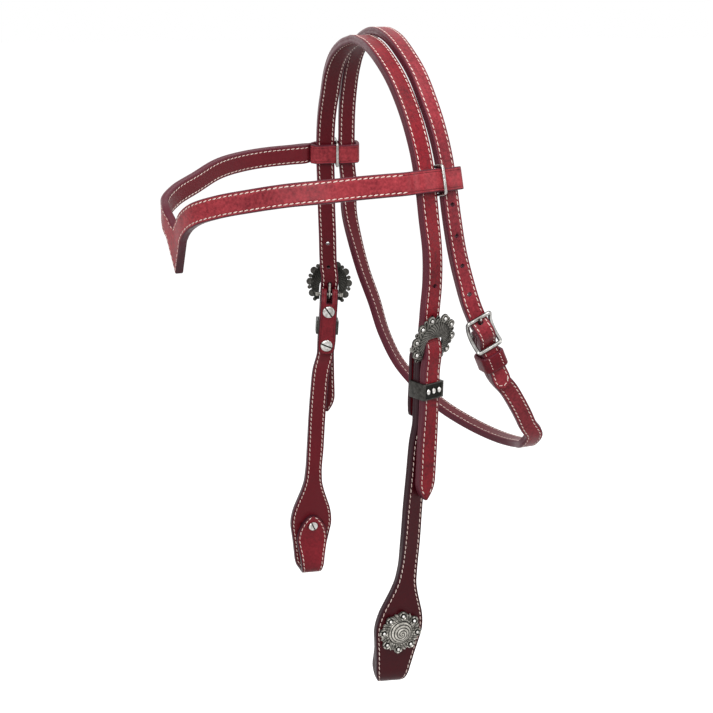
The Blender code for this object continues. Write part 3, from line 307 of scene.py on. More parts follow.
class Look:
    """A material in the making. Each call adds a node and returns what that gives."""

    def __init__(self, name):
        self.made = bpy.data.materials.new(name)
        self.made.use_nodes = True
        self.made.node_tree.nodes.clear()
        self.place = self.add("TexCoord").outputs["Object"]

    def add(self, kind, inputs=None, **settings):
        return put(self.made.node_tree, "ShaderNode" + kind, inputs, **settings)

    def note(self, word, kind="Fac"):
        """A value or vector that was written on the mesh."""
        return self.add("Attribute", attribute_name=word).outputs[kind]

    def noise(self, scale, detail=2.0, rough=0.5):
        inputs = {"Vector": self.place, "Scale": scale, "Detail": detail, "Roughness": rough}
        return self.add("TexNoise", inputs).outputs["Fac"]

    def reckon(self, kind, *values):
        return self.add("Math", dict(enumerate(values)), operation=kind).outputs[0]

    def span(self, value, low=0.0, high=1.0, first=0.0, last=1.0, ease="LINEAR"):
        """Stretches low to high over first to last."""
        inputs = {"Value": value, "From Min": low, "From Max": high, "To Min": first, "To Max": last}
        return self.add("MapRange", inputs, interpolation_type=ease).outputs[0]

    def blend(self, share, *colours):
        first, second = ((*one, 1.0) if isinstance(one, tuple) else one for one in colours)
        return self.add("Mix", {0: share, 6: first, 7: second}, data_type="RGBA").outputs[2]

    def between(self, share, first, second):
        return self.add("Mix", {0: share, 2: first, 3: second}, data_type="FLOAT").outputs[0]

    def coat(self, colour, rough, strength, distance, height, more):
        """Closes the material with its shader, over a bump of this strength, distance and height."""
        bump = self.add("Bump", {"Strength": strength, "Distance": distance, "Height": height})
        inputs = {"Base Color": colour, "Roughness": rough, "Normal": bump.outputs["Normal"], **more}
        self.add("OutputMaterial", {"Surface": self.add("BsdfPrincipled", inputs).outputs[0]})
        return self.made


def leather(name, dark, light, edge=(0.11, 0.02, 0.032)):
    """Waxed leather: mottled dye, fine pores, burnished dark edges that fade onto the face as painted shade, and
    painted shade in the stitch groove.
    """
    look = Look(name)
    rim, cloud, speck = look.note("rim"), look.noise(34.0, 6.0, 0.7), look.noise(420.0, 3.0, 0.6)
    skin = look.blend(look.span(look.reckon("MULTIPLY_ADD", speck, 0.9, cloud), 0.62, 1.28), dark, light)
    skin = look.blend(look.reckon("MULTIPLY", look.note("flesh"), 0.88), skin, dark)
    # Painted shade: the colour darkens along the stitch groove, where shade falls.
    groove = [look.span(rim, start, start + 0.0004, ease="SMOOTHSTEP") for start in (0.0019, 0.0023)]
    groove = look.reckon("MULTIPLY", look.reckon("SUBTRACT", *groove), 0.85)
    skin = look.blend(groove, skin, (0.022, 0.002, 0.004))
    # The edge colour is the real dark edge dye on the cut edges and rounded corners; where it fades 0.9 to 1.8 mm
    # onto the face it is painted shade.
    inside = look.span(look.reckon("MULTIPLY_ADD", cloud, 0.0007, rim), 0.0009, 0.0018, ease="SMOOTHSTEP")
    skin = look.blend(inside, edge, skin)
    pores = {"Vector": look.place, "Scale": 1500.0}
    pores = look.add("TexVoronoi", pores, feature="DISTANCE_TO_EDGE").outputs["Distance"]
    height = look.reckon("MULTIPLY_ADD", pores, 0.9, look.noise(210.0, 4.0, 0.55))
    height = look.between(inside, look.noise(1300.0), height)
    shine = look.span(speck, 0.3, 0.7, 0.3, 0.45)
    return look.coat(skin, shine, 0.32, 0.00022, height, {"Specular IOR Level": 0.15})


def linen_thread():
    """Cream waxed thread, pinkish from the dye, with its twist as a fine bump."""
    look = Look("cream_thread")
    colour = look.blend(look.span(look.noise(260.0, 3.0), 0.35, 0.68), (0.78, 0.55, 0.49), (0.95, 0.82, 0.74))
    return look.coat(colour, 0.62, 0.4, 0.0001, look.noise(2600.0, 1.0), {})


THREAD = linen_thread()
one_stitch = bmesh.new()
bmesh.ops.create_uvsphere(one_stitch, u_segments=6, v_segments=5, radius=1.0)
for vert in one_stitch.verts:
    vert.co = (vert.co.z * 0.00185, vert.co.x * 0.00048, vert.co.y * 0.00034)
for facet in one_stitch.faces:
    facet.smooth = True
STITCH = bpy.data.meshes.new("stitch")
one_stitch.to_mesh(STITCH)
one_stitch.free()
PITCH, INSET = 0.0044, 0.0023


def seam_line(stations, across, face, low, high):
    """Points of one line of holes from row low to row high, on the given edge and face."""
    line = []
    for middle, edge, away, _, width, thick, _, row in stations:
        reach = width / 2 - INSET
        if low <= row <= high and reach > 0.0004:
            line.append((middle + edge * across * reach + away * face * (thick / 2 - 0.00012), away * face))
    return line


def sew(name, lines, body="headstall"):
    """Lays a stitch every pitch along each line, turned a little across its groove."""
    many = bmesh.new()
    for line in lines:
        points, aways = (np.array(part) for part in zip(*line))
        run = np.concatenate([[0], np.cumsum(np.linalg.norm(np.diff(points, axis=0), axis=1))])

        def at(table, length):
            return np.array([np.interp(length, run, column) for column in table.T])

        for k in range(int(run[-1] / PITCH)):
            middle = (k + 0.5) * PITCH
            start, end = at(points, middle - 0.0014), at(points, middle + 0.0014)
            away = unit(at(aways, middle))
            along = unit(end - start)
            along = unit(along + 0.16 * np.cross(away, along))
            across = unit(np.cross(away, along))
            place = Matrix(np.column_stack((along, across, np.cross(along, across)))).to_4x4()
            place.translation = Vector((start + end) / 2)
            STITCH.transform(place)
            many.from_mesh(STITCH)
            STITCH.transform(place.inverted())
    settle(as_object(name, many, [THREAD]), None, body)


CROWN = (
    (225, -3, -1.2, 1.5), (421, -2, -20.2, 6), (590, 10, -49, 9), (720, 25, -84, 9), (825, 35, -119.8, 10),
    (899, 45, -157.6, 12), (944, 54, -199.8, 14), (971, 64, -245, 16), (1000, 74, -292, 20),
    (998, 78, -341, 19),
)
CROWN_END = {1: (1024.5, 57.2, -391.2, 18), -1: (1024.5, 90, -404, 18)}
BILLET_END = {
    1: ((1048, 50, -593.6, 12), (1050, 44, -643.6, 13), (1050, 38, -683.6, 13)),
    -1: ((1053, 74, -600, 12), (1050, 76, -650, 13), (1050, 78, -688, 13)),
}
POINT = ((1.1, 1.0), (0.72, 0.93), (0.42, 0.72), (0.2, 0.46), (0.06, 0.24), (0, 0.12))
BAR_PLACE = {1: (0.973, 0.0456, -0.4416), -1: (0.973, 0.08, -0.4544)}
BAR_TILT = {1: 1.0, -1: 4.0}


def bar_spot(side):
    return Spot(BAR_PLACE[side], side, 18.0, BAR_TILT[side])


FOLD = BAR + FIT + PLY / 2
MAIN = PLY - BAR - FIT
BACK = -PLY / 2 - BAR - FIT - 0.002
BILLET = 3 * PLY - BAR + FIT
ROUND = FOLD + 1.5 * PLY + FIT


def crown_rows(side):
    over = [(out * ROUND, up) for out, up in (
        (0.6, 1.42), (0.72, 1.02), (0.88, 0.68), (1.01, 0.34), (1.07, 0), (1.08, -0.36), (1.07, -0.9),
    )]
    over += [(BILLET + FIT, -1.6)] + [(BILLET, up) for up in (-2.2, -2.6, -4.6, -5.1)]
    rows = [(0.04 * side * HALF_HEAD, 0, PLY, 0, 1.0, 0, STRAP, THICK)]
    rows += head_rows((*CROWN, CROWN_END[side]), side, STRAP, THICK)
    rows += bar_spot(side).rows(over, STRAP, THICK, ROUND)
    upper, lower, tip = np.array(head_rows(BILLET_END[side], side, STRAP, THICK))
    back = unit(lower[:3] - tip[:3]) * STRAP
    rows += [tuple(upper), tuple(lower)]
    return rows + [(*(tip[:3] + back * away), *tip[3:6], STRAP * share, THICK) for away, share in POINT]

# how far the tongue's eye lies from its bar, its rise from level, and its length
CHEEK_TONGUE = (BAR + FIT + 0.0013, radians(50.0), 0.017)


def tongue_ends(loop, rise, length):
    start = np.array((-loop * sin(rise), loop * cos(rise)))
    return start, start + length * np.array((cos(rise), sin(rise)))


def punched_hole(stations, height, length):
    """The tool for a billet's hole at a height on the headstall."""
    near = min(stations, key=lambda s: abs(s[0][2] - height))
    return pin_tool(near[0], near[2], HOLE, length)


def tongue_hole(spot, tongue, share, radius, length):
    """The tool for the hole that a tongue passes, at a share of its length."""
    start, tip = tongue_ends(*tongue)
    out, up = start + (tip - start) * share
    axis = spot.out * (tip - start)[0] + spot.up * (tip - start)[1]
    return pin_tool(spot.at(out, 0, up), axis, radius, length)


sides = {side: travel(crown_rows(side)) for side, _ in SIDES}
crown_route = turned_back(sides[-1]) + sides[1]
crown_look = leather("crown_oxblood", (0.085, 0.004, 0.009), (0.33, 0.018, 0.028))
crown = lay_strap("crown_leather", crown_route, crown_look)
tools = []
for side, route in sides.items():
    spot = bar_spot(side)
    tools.append(tongue_hole(spot, CHEEK_TONGUE, 0.66, 0.0022, 2.2 * THICK))
    above = [s for s in route if spot.origin[2] < s[0][2] < -0.1]
    tools += [punched_hole(above, spot.origin[2] + number * HOLE_STEP, 3 * THICK) for number in (1, 2)]
punch(crown, tools)
settle(crown, "crown_strap")
EDGES = [(edge, face) for edge in (1, -1) for face in (1, -1)]
sew("crown_stitching", [seam_line(crown_route, *pair, 0, 30.6) for pair in EDGES])

# Cheekpieces: two plies that fold back round the heel bar, with a plain single ply behind held by two leather
# screws, and widen below into a paddle whose end turns in and up as a flap, the loop for the bit ring.
# Per side: dark, light and edge colours of the one oxblood leather. The left cheek's are darkened and the right
# cheek's lightened: painted shade and light for how the lamps fall on each side.
CHEEK_DYE_AND_SHADE = {
    1: ((0.042, 0.002, 0.005), (0.18, 0.0075, 0.013), (0.026, 0.005, 0.009)),
    -1: ((0.125, 0.01, 0.016), (0.27, 0.022, 0.032), (0.06, 0.012, 0.02)),
}
CHEEK = {
    1: (
        (978, 29, -593.6, 13), (983, 14, -643.6, 14), (985, 0, -693.6, 13), (987, -12, -753.6, 9),
    ),
    -1: (
        (978, 26, -600, 14), (983, 11, -643.6, 14), (985, -2, -693.6, 13), (987, -14, -753.6, 9),
    ),
}
LEAF, FLAP = 0.0405, 0.005
LOOP = 0.008


def paddle_spot(side):
    if side > 0:
        return Spot((0.964, -0.066, -0.9156), 1, -2.0, 8.0)
    return Spot((0.964, -0.054, -0.909), -1, 5.0, 3.5)


def cheek_rows(side):
    turn = (LOOP + FLAP) / 2
    inner, low = -PLY - FIT - FLAP / 2, -LOOP * 5.0
    flap_end = ((0.245, 0.07), (0.225, 0.19), (0.15, 0.36), (0, 0.57), (-0.2, 0.71))
    leaf = [(inner, up, wide * LEAF, FLAP) for up, wide in flap_end]
    hang = ((inner - 0.1 * turn, -0.36, 0.74), (inner - 0.42 * turn, -0.56, 0.68), (-1.8 * turn, -0.76, 0.6))
    leaf += [(out, up, wide * LEAF, FLAP) for out, up, wide in hang]
    bend = (
        (-2.0, 0, 0.54), (-1.87, 0.5, 0.5), (-1.5, 0.866, 0.47), (-1.0, 1.0, 0.46),
        (-0.5, 0.866, 0.5), (-0.13, 0.5, 0.62),
    )
    leaf += [(out * turn, (low - down * turn) / LEAF, wide * LEAF, FLAP) for out, down, wide in bend]
    leaf += [(0, low / LEAF, 0.68 * LEAF, 1.05 * FLAP), (0, -0.76, 0.76 * LEAF, 0.97 * THICK)]
    paddle = (
        (-0.52, 0.83), (-0.26, 0.92), (0, 1.0), (0.2, 0.975), (0.41, 0.88), (0.64, 0.71), (0.86, 0.55),
        (1.06, 0.44), (1.28, STRAP / LEAF),
    )
    leaf += [(0, up, wide * LEAF, THICK) for up, wide in paddle]
    rows = paddle_spot(side).rows(leaf, LEAF, THICK, LEAF)
    rows += head_rows(CHEEK[side], side, STRAP, THICK)[::-1]
    upper = [(MAIN, up, STRAP, THICK) for up in (-15.8, -15.2, -8.0, -3.2, -2.6)]
    upper += [(FOLD - 0.1 * PLY, -1.45), (FOLD, -0.7)]
    upper += [(FOLD * cos(a), sin(a)) for a in map(radians, range(0, 181, 30))]
    upper += [(-1.07 * FOLD, -0.6), (0.5 * BACK - 0.6 * FOLD, -1.25)]
    upper += [(BACK, up) for up in (-2.0, -2.5, -3.2, -8.0, -13.5)]
    upper += [(BACK, up, wide * STRAP, PLY) for up, wide in ((-14.6, 0.93), (-15.3, 0.66), (-15.5, 0.35))]
    return rows + bar_spot(side).rows(upper, STRAP, PLY, FOLD)


def block_tool(place, size):
    bm = bmesh.new()
    bmesh.ops.create_cube(bm, size=1.0, matrix=place @ Matrix.Diagonal((*size, 1.0)))
    return as_object("block_tool", bm)


SCREW_DROPS = (-4.2 * FOLD, -13.2 * FOLD)
SCREW_BORE = 0.0027
for side, word in SIDES:
    route = travel(cheek_rows(side))
    cheek = lay_strap(word + "_cheek_leather", route, leather(word + "_cheek_oxblood_side_shade", *CHEEK_DYE_AND_SHADE[side]))
    spot, low = bar_spot(side), paddle_spot(side)
    tools = [block_tool(spot.grid(), (0.0048, 4.4 * FOLD, 5 * FOLD))]
    for drop in SCREW_DROPS:
        tools.append(pin_tool(spot.at(MAIN, 0, drop), spot.out, SCREW_BORE, 6 * THICK))
        tools.append(pin_tool(spot.at(MAIN + PLY, 0, drop), spot.out, 0.005, 0.0031))
    tools.append(pin_tool(low.origin, low.out, SCREW_BORE, 6 * THICK))
    punch(cheek, tools)
    settle(cheek, word + "_cheekpiece")
    lines = [seam_line(route, edge, face, 0.6 if face > 0 else 11.5, 33.6) for edge, face in EDGES]
    sew(word + "_cheek_stitching", lines)

# Throat strap: one narrower strap from its pointed billet at the buckle, up over the poll behind the crown
# strap, down the far side, under the throat and back up, where a skived end folds round the buckle's bar.
NARROW, SLIM = 0.0145, 0.0062
WIRE, ARCH, SKIVED = 0.0012, 0.0055, 0.002
FRAME_END = 0.029 / 2 - WIRE
UNDER = ARCH - WIRE - FIT - SLIM / 2
BAND = UNDER - SLIM - FIT
THROAT_NEAR = (
    (0, 96, 18.8, 0), (238, 98, 9, 2), (437, 101, -13, 6), (600, 114, -42.8, 7), (719, 130, -79.6, 8),
    (811, 147, -117.8, 12), (874, 163, -158, 14), (918, 174, -199.6, 14), (959, 186, -248, 12),
    (966, 213, -295, 12), (980, 248, -340.2, 6),
)
THROAT_FAR = (
    (238, 98, 9, 2), (437, 101, -11, 2), (600, 116, -42.8, 2), (723, 133, -79.6, 4), (814, 149, -118, 10),
    (874, 163, -158, 14), (918, 174, -199.6, 14), (970, 201, -248, 4), (1014, 216, -302, -14),
    (1044, 261, -359, -26), (1031, 311, -418, -33), (999, 372, -477, -36), (937, 417, -536, -43),
    (834, 480, -590, -47), (634, 546, -625.6, -45), (354, 614, -651.8, -30), (31, 693, -667.8, -18),
    (-298, 754, -671, -12), (-571, 766, -660, -5), (-751, 737, -644, 2), (-850, 727, -620, 8),
    (-882, 677.5, -601.4, 5), (-909, 633.8, -579, 2), (-931.8, 582.5, -553.8, 0), (-948.2, 535, -532, 0),
)


def throat_spot():
    return Spot((1.018, 0.3375, -0.4236), 1, 0, -24.0)


def throat_rows():
    spot = throat_spot()
    top = WIRE + FIT + SKIVED + FIT + SLIM / 2
    over = (
        (top, 0), (0.93 * top, 0.225), (0.69 * top, 0.42), (0.36 * top, 0.64), (UNDER + FIT / 3, 0.86),
        (UNDER, 1.06),
    )
    point = ((-3.84, 0.16), (-3.8, 0.6), (-3.68, 0.9), (-3.5, 1.0))
    billet = [(UNDER + FIT, up, wide * NARROW, SLIM) for up, wide in point] + [(UNDER, -2.6), (UNDER, -1.5)]
    billet += [(out, -up) for out, up in over[:0:-1]] + [*over, (UNDER - FIT, 1.5)]
    rows = spot.rows(billet, NARROW, SLIM, FRAME_END)
    rows += head_rows(THROAT_NEAR, 1, NARROW, SLIM)[::-1] + head_rows(THROAT_FAR, -1, NARROW, SLIM)
    end = [(BAND - FIT, -2.9), (BAND, -2.4), (BAND, -1.5), (BAND, -1.22)]
    end.append((BAND + SLIM / 4, -1.1, NARROW, SLIM / 2))
    rows += spot.rows(end, NARROW, SLIM, FRAME_END)
    rows += spot.rows([(BAND + 0.325 * SLIM, -0.98)], NARROW, SKIVED, FRAME_END)
    fold = WIRE + FIT + SKIVED / 2
    bend = [(-1.22, -3.8), (-0.52, -2.4), (0.4, -1.24)]
    bend += [(cos(a), sin(a)) for a in map(radians, (-45, -12, 20, 55, 90, 125, 160, 190))]
    rows += spot.rows([(out * fold, up) for out, up in bend], NARROW, SKIVED, fold)
    inside = ((0.86 * BAND, -0.52), (BAND - 0.3 * SLIM, -0.9), (BAND - 0.31 * SLIM, -1.02))
    return rows + spot.rows(inside, NARROW, SKIVED, FRAME_END)


route = travel(throat_rows())
# The throat strap's tones are lighter than the crown strap's: painted light, for the brighter lit throat strap.
throat_look = leather("throat_oxblood_lightened", (0.1, 0.007, 0.013), (0.395, 0.044, 0.058))
throat = lay_strap("throat_leather", route, throat_look, turned=True)
spot = throat_spot()
loop = WIRE + FIT + 0.001
reach = hypot(FRAME_END, ARCH)
apart = asin((2 * loop + 0.5 * FIT) / reach)
THROAT_TONGUE = (loop, atan2(FRAME_END, ARCH) - apart, reach * cos(apart) + 0.0026)
tools = [tongue_hole(spot, THROAT_TONGUE, 0.49, 0.0018, 1.8 * SLIM)]
tools.append(block_tool(spot.grid(0, 0, -SKIVED / 2), (0.004, 7 * SKIVED, 4 * SKIVED)))
climb = [s for s in route if s[7] < 28 and s[0][2] > spot.origin[2] + 0.01 and s[0][0] > 0]
heights = [spot.origin[2] + spot.up[2] * (0.0087 + number * HOLE_STEP) for number in (1, 2, 3, 4)]
tools += [punched_hole(climb, height, 3 * SLIM) for height in heights]
punch(throat, tools)
settle(throat, "throat_strap")


def under_bar(point):
    """Whether a thread lies under an end bar of the frame, which presses it into the leather."""
    offsets = [point - spot.at(ARCH, 0, up) for up in (FRAME_END, -FRAME_END)]
    return min(np.linalg.norm(d - spot.rear * np.dot(d, spot.rear)) for d in offsets) < 0.0038


lines = [seam_line(route, *pair, 3.0, 56.6) for pair in EDGES]
lines = [[(p - away * 0.00026 if under_bar(p) else p, away) for p, away in line] for line in lines]
curve = NARROW / 2 - INSET
skin = ARCH - WIRE - 0.00012
low_end = -3.84 * FRAME_END + INSET + curve
half_turn = map(radians, range(0, 181, 15))
lines.append([(spot.at(skin, curve * cos(a), low_end - curve * sin(a)), spot.out) for a in half_turn])
sew("throat_stitching", lines)

# Browband: one stitched strap mitred to a V at the forehead. Each end is split, wraps out past the crown and
# throat straps, turns round behind them and comes forward again inside, and a wire ring draws it in between.
BROW_LOOP = (
    (895, -438, -199.6, 12), (945, -288, -195.6, 12.5), (960, -144, -193.6, 12.5),
)
BROW = {
    1: (
        (82, -954, -276.6, 0), (182, -945, -257.6, 2), (309, -919, -241.6, 4), (464, -844, -227.6, 6),
        (627, -716, -215.6, 8), (782, -581, -205.6, 10), *BROW_LOOP,
    ),
    -1: (
        (82, -970, -278.6, 0), (182, -978, -261.6, 2), (309, -962, -251.6, 4), (464, -888, -238.6, 6),
        (627, -748, -223.6, 8), (782, -591, -206.6, 10), *BROW_LOOP,
    ),
}
BROW_HEIGHT = -0.1916 * DROP
WIDE, SLIP = 0.017, 0.0007


def pass_by(route, side):
    """A strap where it passes the browband: its middle, and its rear, outward and upward ways."""
    low = next(i for i, s in enumerate(route) if s[0][2] < BROW_HEIGHT and s[0][2] > -0.2)
    above, below = route[low - 1], route[low]
    share = (above[0][2] - BROW_HEIGHT) / (above[0][2] - below[0][2])
    middle = above[0] + (below[0] - above[0]) * share
    up, rear = -above[3], above[1]
    return middle, rear, side * np.cross(rear, up), up


def brow_straps(side):
    table = THROAT_NEAR if side > 0 else THROAT_FAR
    return pass_by(sides[side], side), pass_by(travel(head_rows(table, side, NARROW, SLIM)), side)


def brow_rows(side):
    rows = []
    for x, y, z, tilt in BROW[side]:
        t = radians(tilt)
        place = (side * x * MM * HALF_HEAD, y * MM * REACH, z * MM * DROP)
        rows.append((*place, -side * sin(t), 0, cos(t), WIDE, THICK))
    straps = brow_straps(side)
    off = 1.5 * PLY + SLIP
    half, back = STRAP / 2, NARROW / 2

    def beside(strap, along, out):
        middle, rear, away, up = straps[strap]
        return (*(middle + rear * along + away * out), *up, WIDE, PLY)

    loop = [(0, -1.66 * half, 0.25 * off), (0, -1.32 * half, 0.66 * off), (0, -half, off), (0, -0.5 * half, off)]
    loop += [(0, 0.5 * half, off), (0, half, off), (1, -0.8 * back, off), (1, 0.8 * back, off)]
    bend = 0.6 * PLY
    for sign, angle in ((1, 90), (1, 45), (1, 0), (-1, 0), (-1, -45), (-1, -90)):
        a = radians(angle)
        behind = back + SLIP + PLY / 2 - bend + bend * cos(a)
        loop.append((1, behind, (off - bend) * sign + bend * sin(a)))
    loop += [(1, 0.8 * back, -off), (1, -0.8 * back, -off), (0, half, -off), (0, 0.5 * half, -off)]
    loop += [(0, -0.5 * half, -off), (0, -half, -off)]
    loop += [(0, -1.32 * half, -0.7 * off), (0, -1.58 * half, -0.42 * off)]
    around = [beside(*place) for place in loop]
    _, rear, away, _ = straps[0]
    joined = np.array(around[0])
    joined[:3] -= away * 0.25 * (PLY * 1.5 + SLIP) + rear * PLY
    joined[7] = THICK
    return rows + [tuple(joined)] + around


tip = [np.array((0, -0.956 * REACH, -0.3076 * DROP)), np.array((0, 0, 1.0)), np.array((0, -1.0, 0))]
tip += [np.array((1.0, 0, 0)), WIDE / cos(radians(62.0)), THICK, 0, 0]
arms = {side: travel(brow_rows(side)) for side in (1, -1)}
brow_route = turned_back(arms[-1], -1) + [tip] + arms[1]
# The browband's tones are lighter than the other straps': painted sheen, in place of the soft lamp's highlight on
# it.
brow = lay_strap("brow_leather", brow_route, leather("brow_oxblood_painted_sheen", (0.135, 0.01, 0.017), (0.5, 0.062, 0.076)))
settle(brow, "browband", "brow")
sew("brow_stitching", [seam_line(brow_route, *pair, -9.2, 9.2) for pair in EDGES], "brow")

# Browband rings: two rectangles of round nickelled wire, one a side. Each is slipped over the wrapped end of
# the browband between the crown and throat straps, where it draws the two plies together.
def bright(name, rough, tone):
    """Polished nickel: a little warm, with a soft mottle, fine scratches, duller spots and painted shade where low
    is set.
    """
    look = Look(name)
    dull = look.span(look.noise(240.0, 4.0, 0.6), 0.36, 0.66)
    colour = look.blend(dull, (tone * 0.5, tone * 0.48, tone * 0.45), (tone, tone * 0.985, tone * 0.95))
    # Painted shade: the low value darkens the nickel under heads, in bores, round the feet of berries and on the
    # throat buckle's side facets.
    colour = look.blend(look.note("low"), colour, (0.035, 0.032, 0.03))
    smooth = look.span(dull, first=rough * 1.7, last=rough)
    return look.coat(colour, smooth, 0.18, 0.00006, look.noise(1900.0), {"Metallic": 1.0})


def draw_wire(points, section, plane, closed=True):
    """Draws a section of (across, through) points along the wire's points."""
    rings, last = [], len(points) - 1
    for k, point in enumerate(points):
        before = points[k - 1] if closed or k else point
        after = points[k + 1 if k < last else 0] if closed or k < last else point
        along = unit(after - before)
        across = unit(np.cross(along, plane))
        through = np.cross(across, along)
        rings.append([(point + across * a + through * b,) for a, b in section])
    return sweep(rings, closed)


def round_section(radius, sides=14):
    turns = [2 * pi * i / sides for i in range(sides)]
    return [(radius * cos(turn), radius * sin(turn)) for turn in turns]


def finish_piece(name, bm, look, node, body="headstall"):
    """Turns faces outward, smooths all but sharp edges and settles the piece."""
    bmesh.ops.recalc_face_normals(bm, faces=bm.faces)
    for face in bm.faces:
        face.smooth = True
    piece = as_object(name, bm, look if isinstance(look, tuple) else (look,))
    piece.data.set_sharp_from_angle(angle=radians(38.0))
    settle(piece, node, body)
    return piece


def round_corners(first, second, wide, tall, corner, middle=0.0):
    """Points round a rectangle with round corners, anticlockwise from the first corner."""
    points = []
    for a, b, start in ((1, 1, 0), (-1, 1, 90), (-1, -1, 180), (1, -1, 270)):
        for t in map(radians, range(start, start + 91, 15)):
            across, along = a * (wide - corner) + corner * cos(t), b * (tall - corner) + corner * sin(t)
            points.append(middle + np.array(first) * across + np.array(second) * along)
    return points


nickel_wire = bright("ring_nickel", 0.2, 0.5)
for side, word in SIDES:
    front_strap, back_strap = brow_straps(side)
    front = front_strap[0] + front_strap[1] * STRAP / 2
    back = back_strap[0] - back_strap[1] * NARROW / 2
    out, up = unit(front_strap[2] + back_strap[2]), unit(front_strap[3] + back_strap[3])
    wide, tall = 2 * PLY + SLIP + 2.5 * FIT + WIRE, WIDE / 2 + SLIP + WIRE
    path = round_corners(out, up, wide, tall, 1.6 * WIRE, (front + back) / 2)
    bm = draw_wire(path, round_section(WIRE), np.cross(out, up))
    finish_piece(word + "_ring_wire", bm, nickel_wire, word + "_browband_ring", "brow")

# Cart buckles: antiqued castings that hold the crown strap's billets to the cheekpieces. A scalloped arch
# with engraved feathers and ringed berries stands in front of the strap, on two lugs and a heel bar behind it.
def antique(name, tone, pattern=None):
    """Antiqued pewter: grey metal rubbed bright in random patches and black in its recesses and cuts."""
    look = Look(name)
    rubbed = look.span(look.noise(300.0, 5.0, 0.65), 0.32, 0.7)
    cut, height = look.note("low"), look.noise(900.0)
    if pattern:
        lines = pattern(look)
        cut = look.reckon("MAXIMUM", cut, lines)
        height = look.reckon("MULTIPLY_ADD", height, 0.16, look.reckon("SUBTRACT", 1.0, lines))
    grey = look.blend(rubbed, (tone * 0.24, tone * 0.225, tone * 0.195), (tone, tone * 0.96, tone * 0.87))
    patina = look.blend(cut, grey, (0.014, 0.014, 0.012))
    return look.coat(patina, look.span(cut, first=0.34, last=0.62), 0.65, 0.00022, height, {"Metallic": 0.9})


def polar(look, raised=0.0):
    """Angle and distance in a fitting's own face, about a point raised by so much."""
    parts = look.add("SeparateXYZ", {"Vector": look.note("spot", "Vector")}).outputs
    high = look.reckon("SUBTRACT", parts["Y"], raised)
    square = look.reckon("MULTIPLY_ADD", parts["X"], parts["X"], look.reckon("MULTIPLY", high, high))
    return look.reckon("ARCTAN2", high, parts["X"]), look.reckon("SQRT", square)


def strokes(look, value, sharp):
    """1 in narrow cuts where the value is a whole turn, 0 between."""
    return look.span(look.reckon("COSINE", value), sharp, 0.95, ease="SMOOTHSTEP")


def feathers(look):
    """Barbs slanting off a middle quill that runs round the arch."""
    angle, away = polar(look, 0.0085)
    bow = look.reckon("ABSOLUTE", look.reckon("SUBTRACT", away, 0.015))
    barbs = look.reckon("MULTIPLY_ADD", angle, 34.0, look.reckon("MULTIPLY", bow, 1900.0))
    return look.reckon("MAXIMUM", strokes(look, barbs, -0.1), look.span(bow, 0.00012, 0.00045, 1.0, 0.0))


def note_spot(bm, grid):
    """Writes each point's place in the fitting's own face."""
    spot = bm.verts.layers.float_vector.new("spot")
    back = grid.inverted()
    for vert in bm.verts:
        vert[spot] = back @ vert.co


def turn_shape(bm, profile, grid, steps, wave=None):
    """Spins a profile of (radius, height, low) about the grid's Z axis, closed at both ends."""
    low = bm.verts.layers.float.get("low") or bm.verts.layers.float.new("low")
    old = set(bm.verts)
    line = []
    for radius, height, depth in profile:
        vert = bm.verts.new((radius, 0, height))
        vert[low] = depth
        line.append(vert)
    geom = line + [bm.edges.new(pair) for pair in zip(line, line[1:])]
    whole = 2 * pi
    bmesh.ops.spin(bm, geom=geom, cent=(0, 0, 0), axis=(0, 0, 1), angle=whole, steps=steps, use_merge=True)
    fresh = [vert for vert in bm.verts if vert not in old]
    bmesh.ops.remove_doubles(bm, verts=fresh, dist=0.000005)
    fresh = [vert for vert in bm.verts if vert not in old]
    if wave:
        for vert in fresh:
            wave(vert)
    bmesh.ops.transform(bm, matrix=grid, verts=fresh)


def soften(bm, edges, offset, segments):
    bmesh.ops.bevel(
        bm, geom=edges, affect="EDGES", offset=offset, segments=segments, profile=0.5, material=-1
    )


def bend_tongue(spot, tongue, radius, rounding):
    """A tongue's wire, bent round its bar and out to a rounded tip."""
    loop, rise, _ = tongue
    start, tip = tongue_ends(*tongue)
    path = []
    for i in range(25):
        a = rise + pi / 2 + radians(262.0) * (24 - i) / 24
        path.append(spot.at(loop * cos(a), 0, loop * sin(a)))
    for k in range(1, 7):
        out, up = start + (tip - start) * k / 6
        path.append(spot.at(out, 0, up))
    bm = draw_wire(path, round_section(radius), spot.rear, closed=False)
    end = Vector(path[-1])
    caps = [face for face in bm.faces if len(face.verts) > 4]
    cap = min(caps, key=lambda face: (face.calc_center_median() - end).length)
    soften(bm, list(cap.edges), rounding, 4)
    return bm


def raised(base, profile):
    """A profile of (radius, height, low) in millimetres, raised to the base in metres."""
    return [(radius * MM, base + height * MM, low) for radius, height, low in profile]


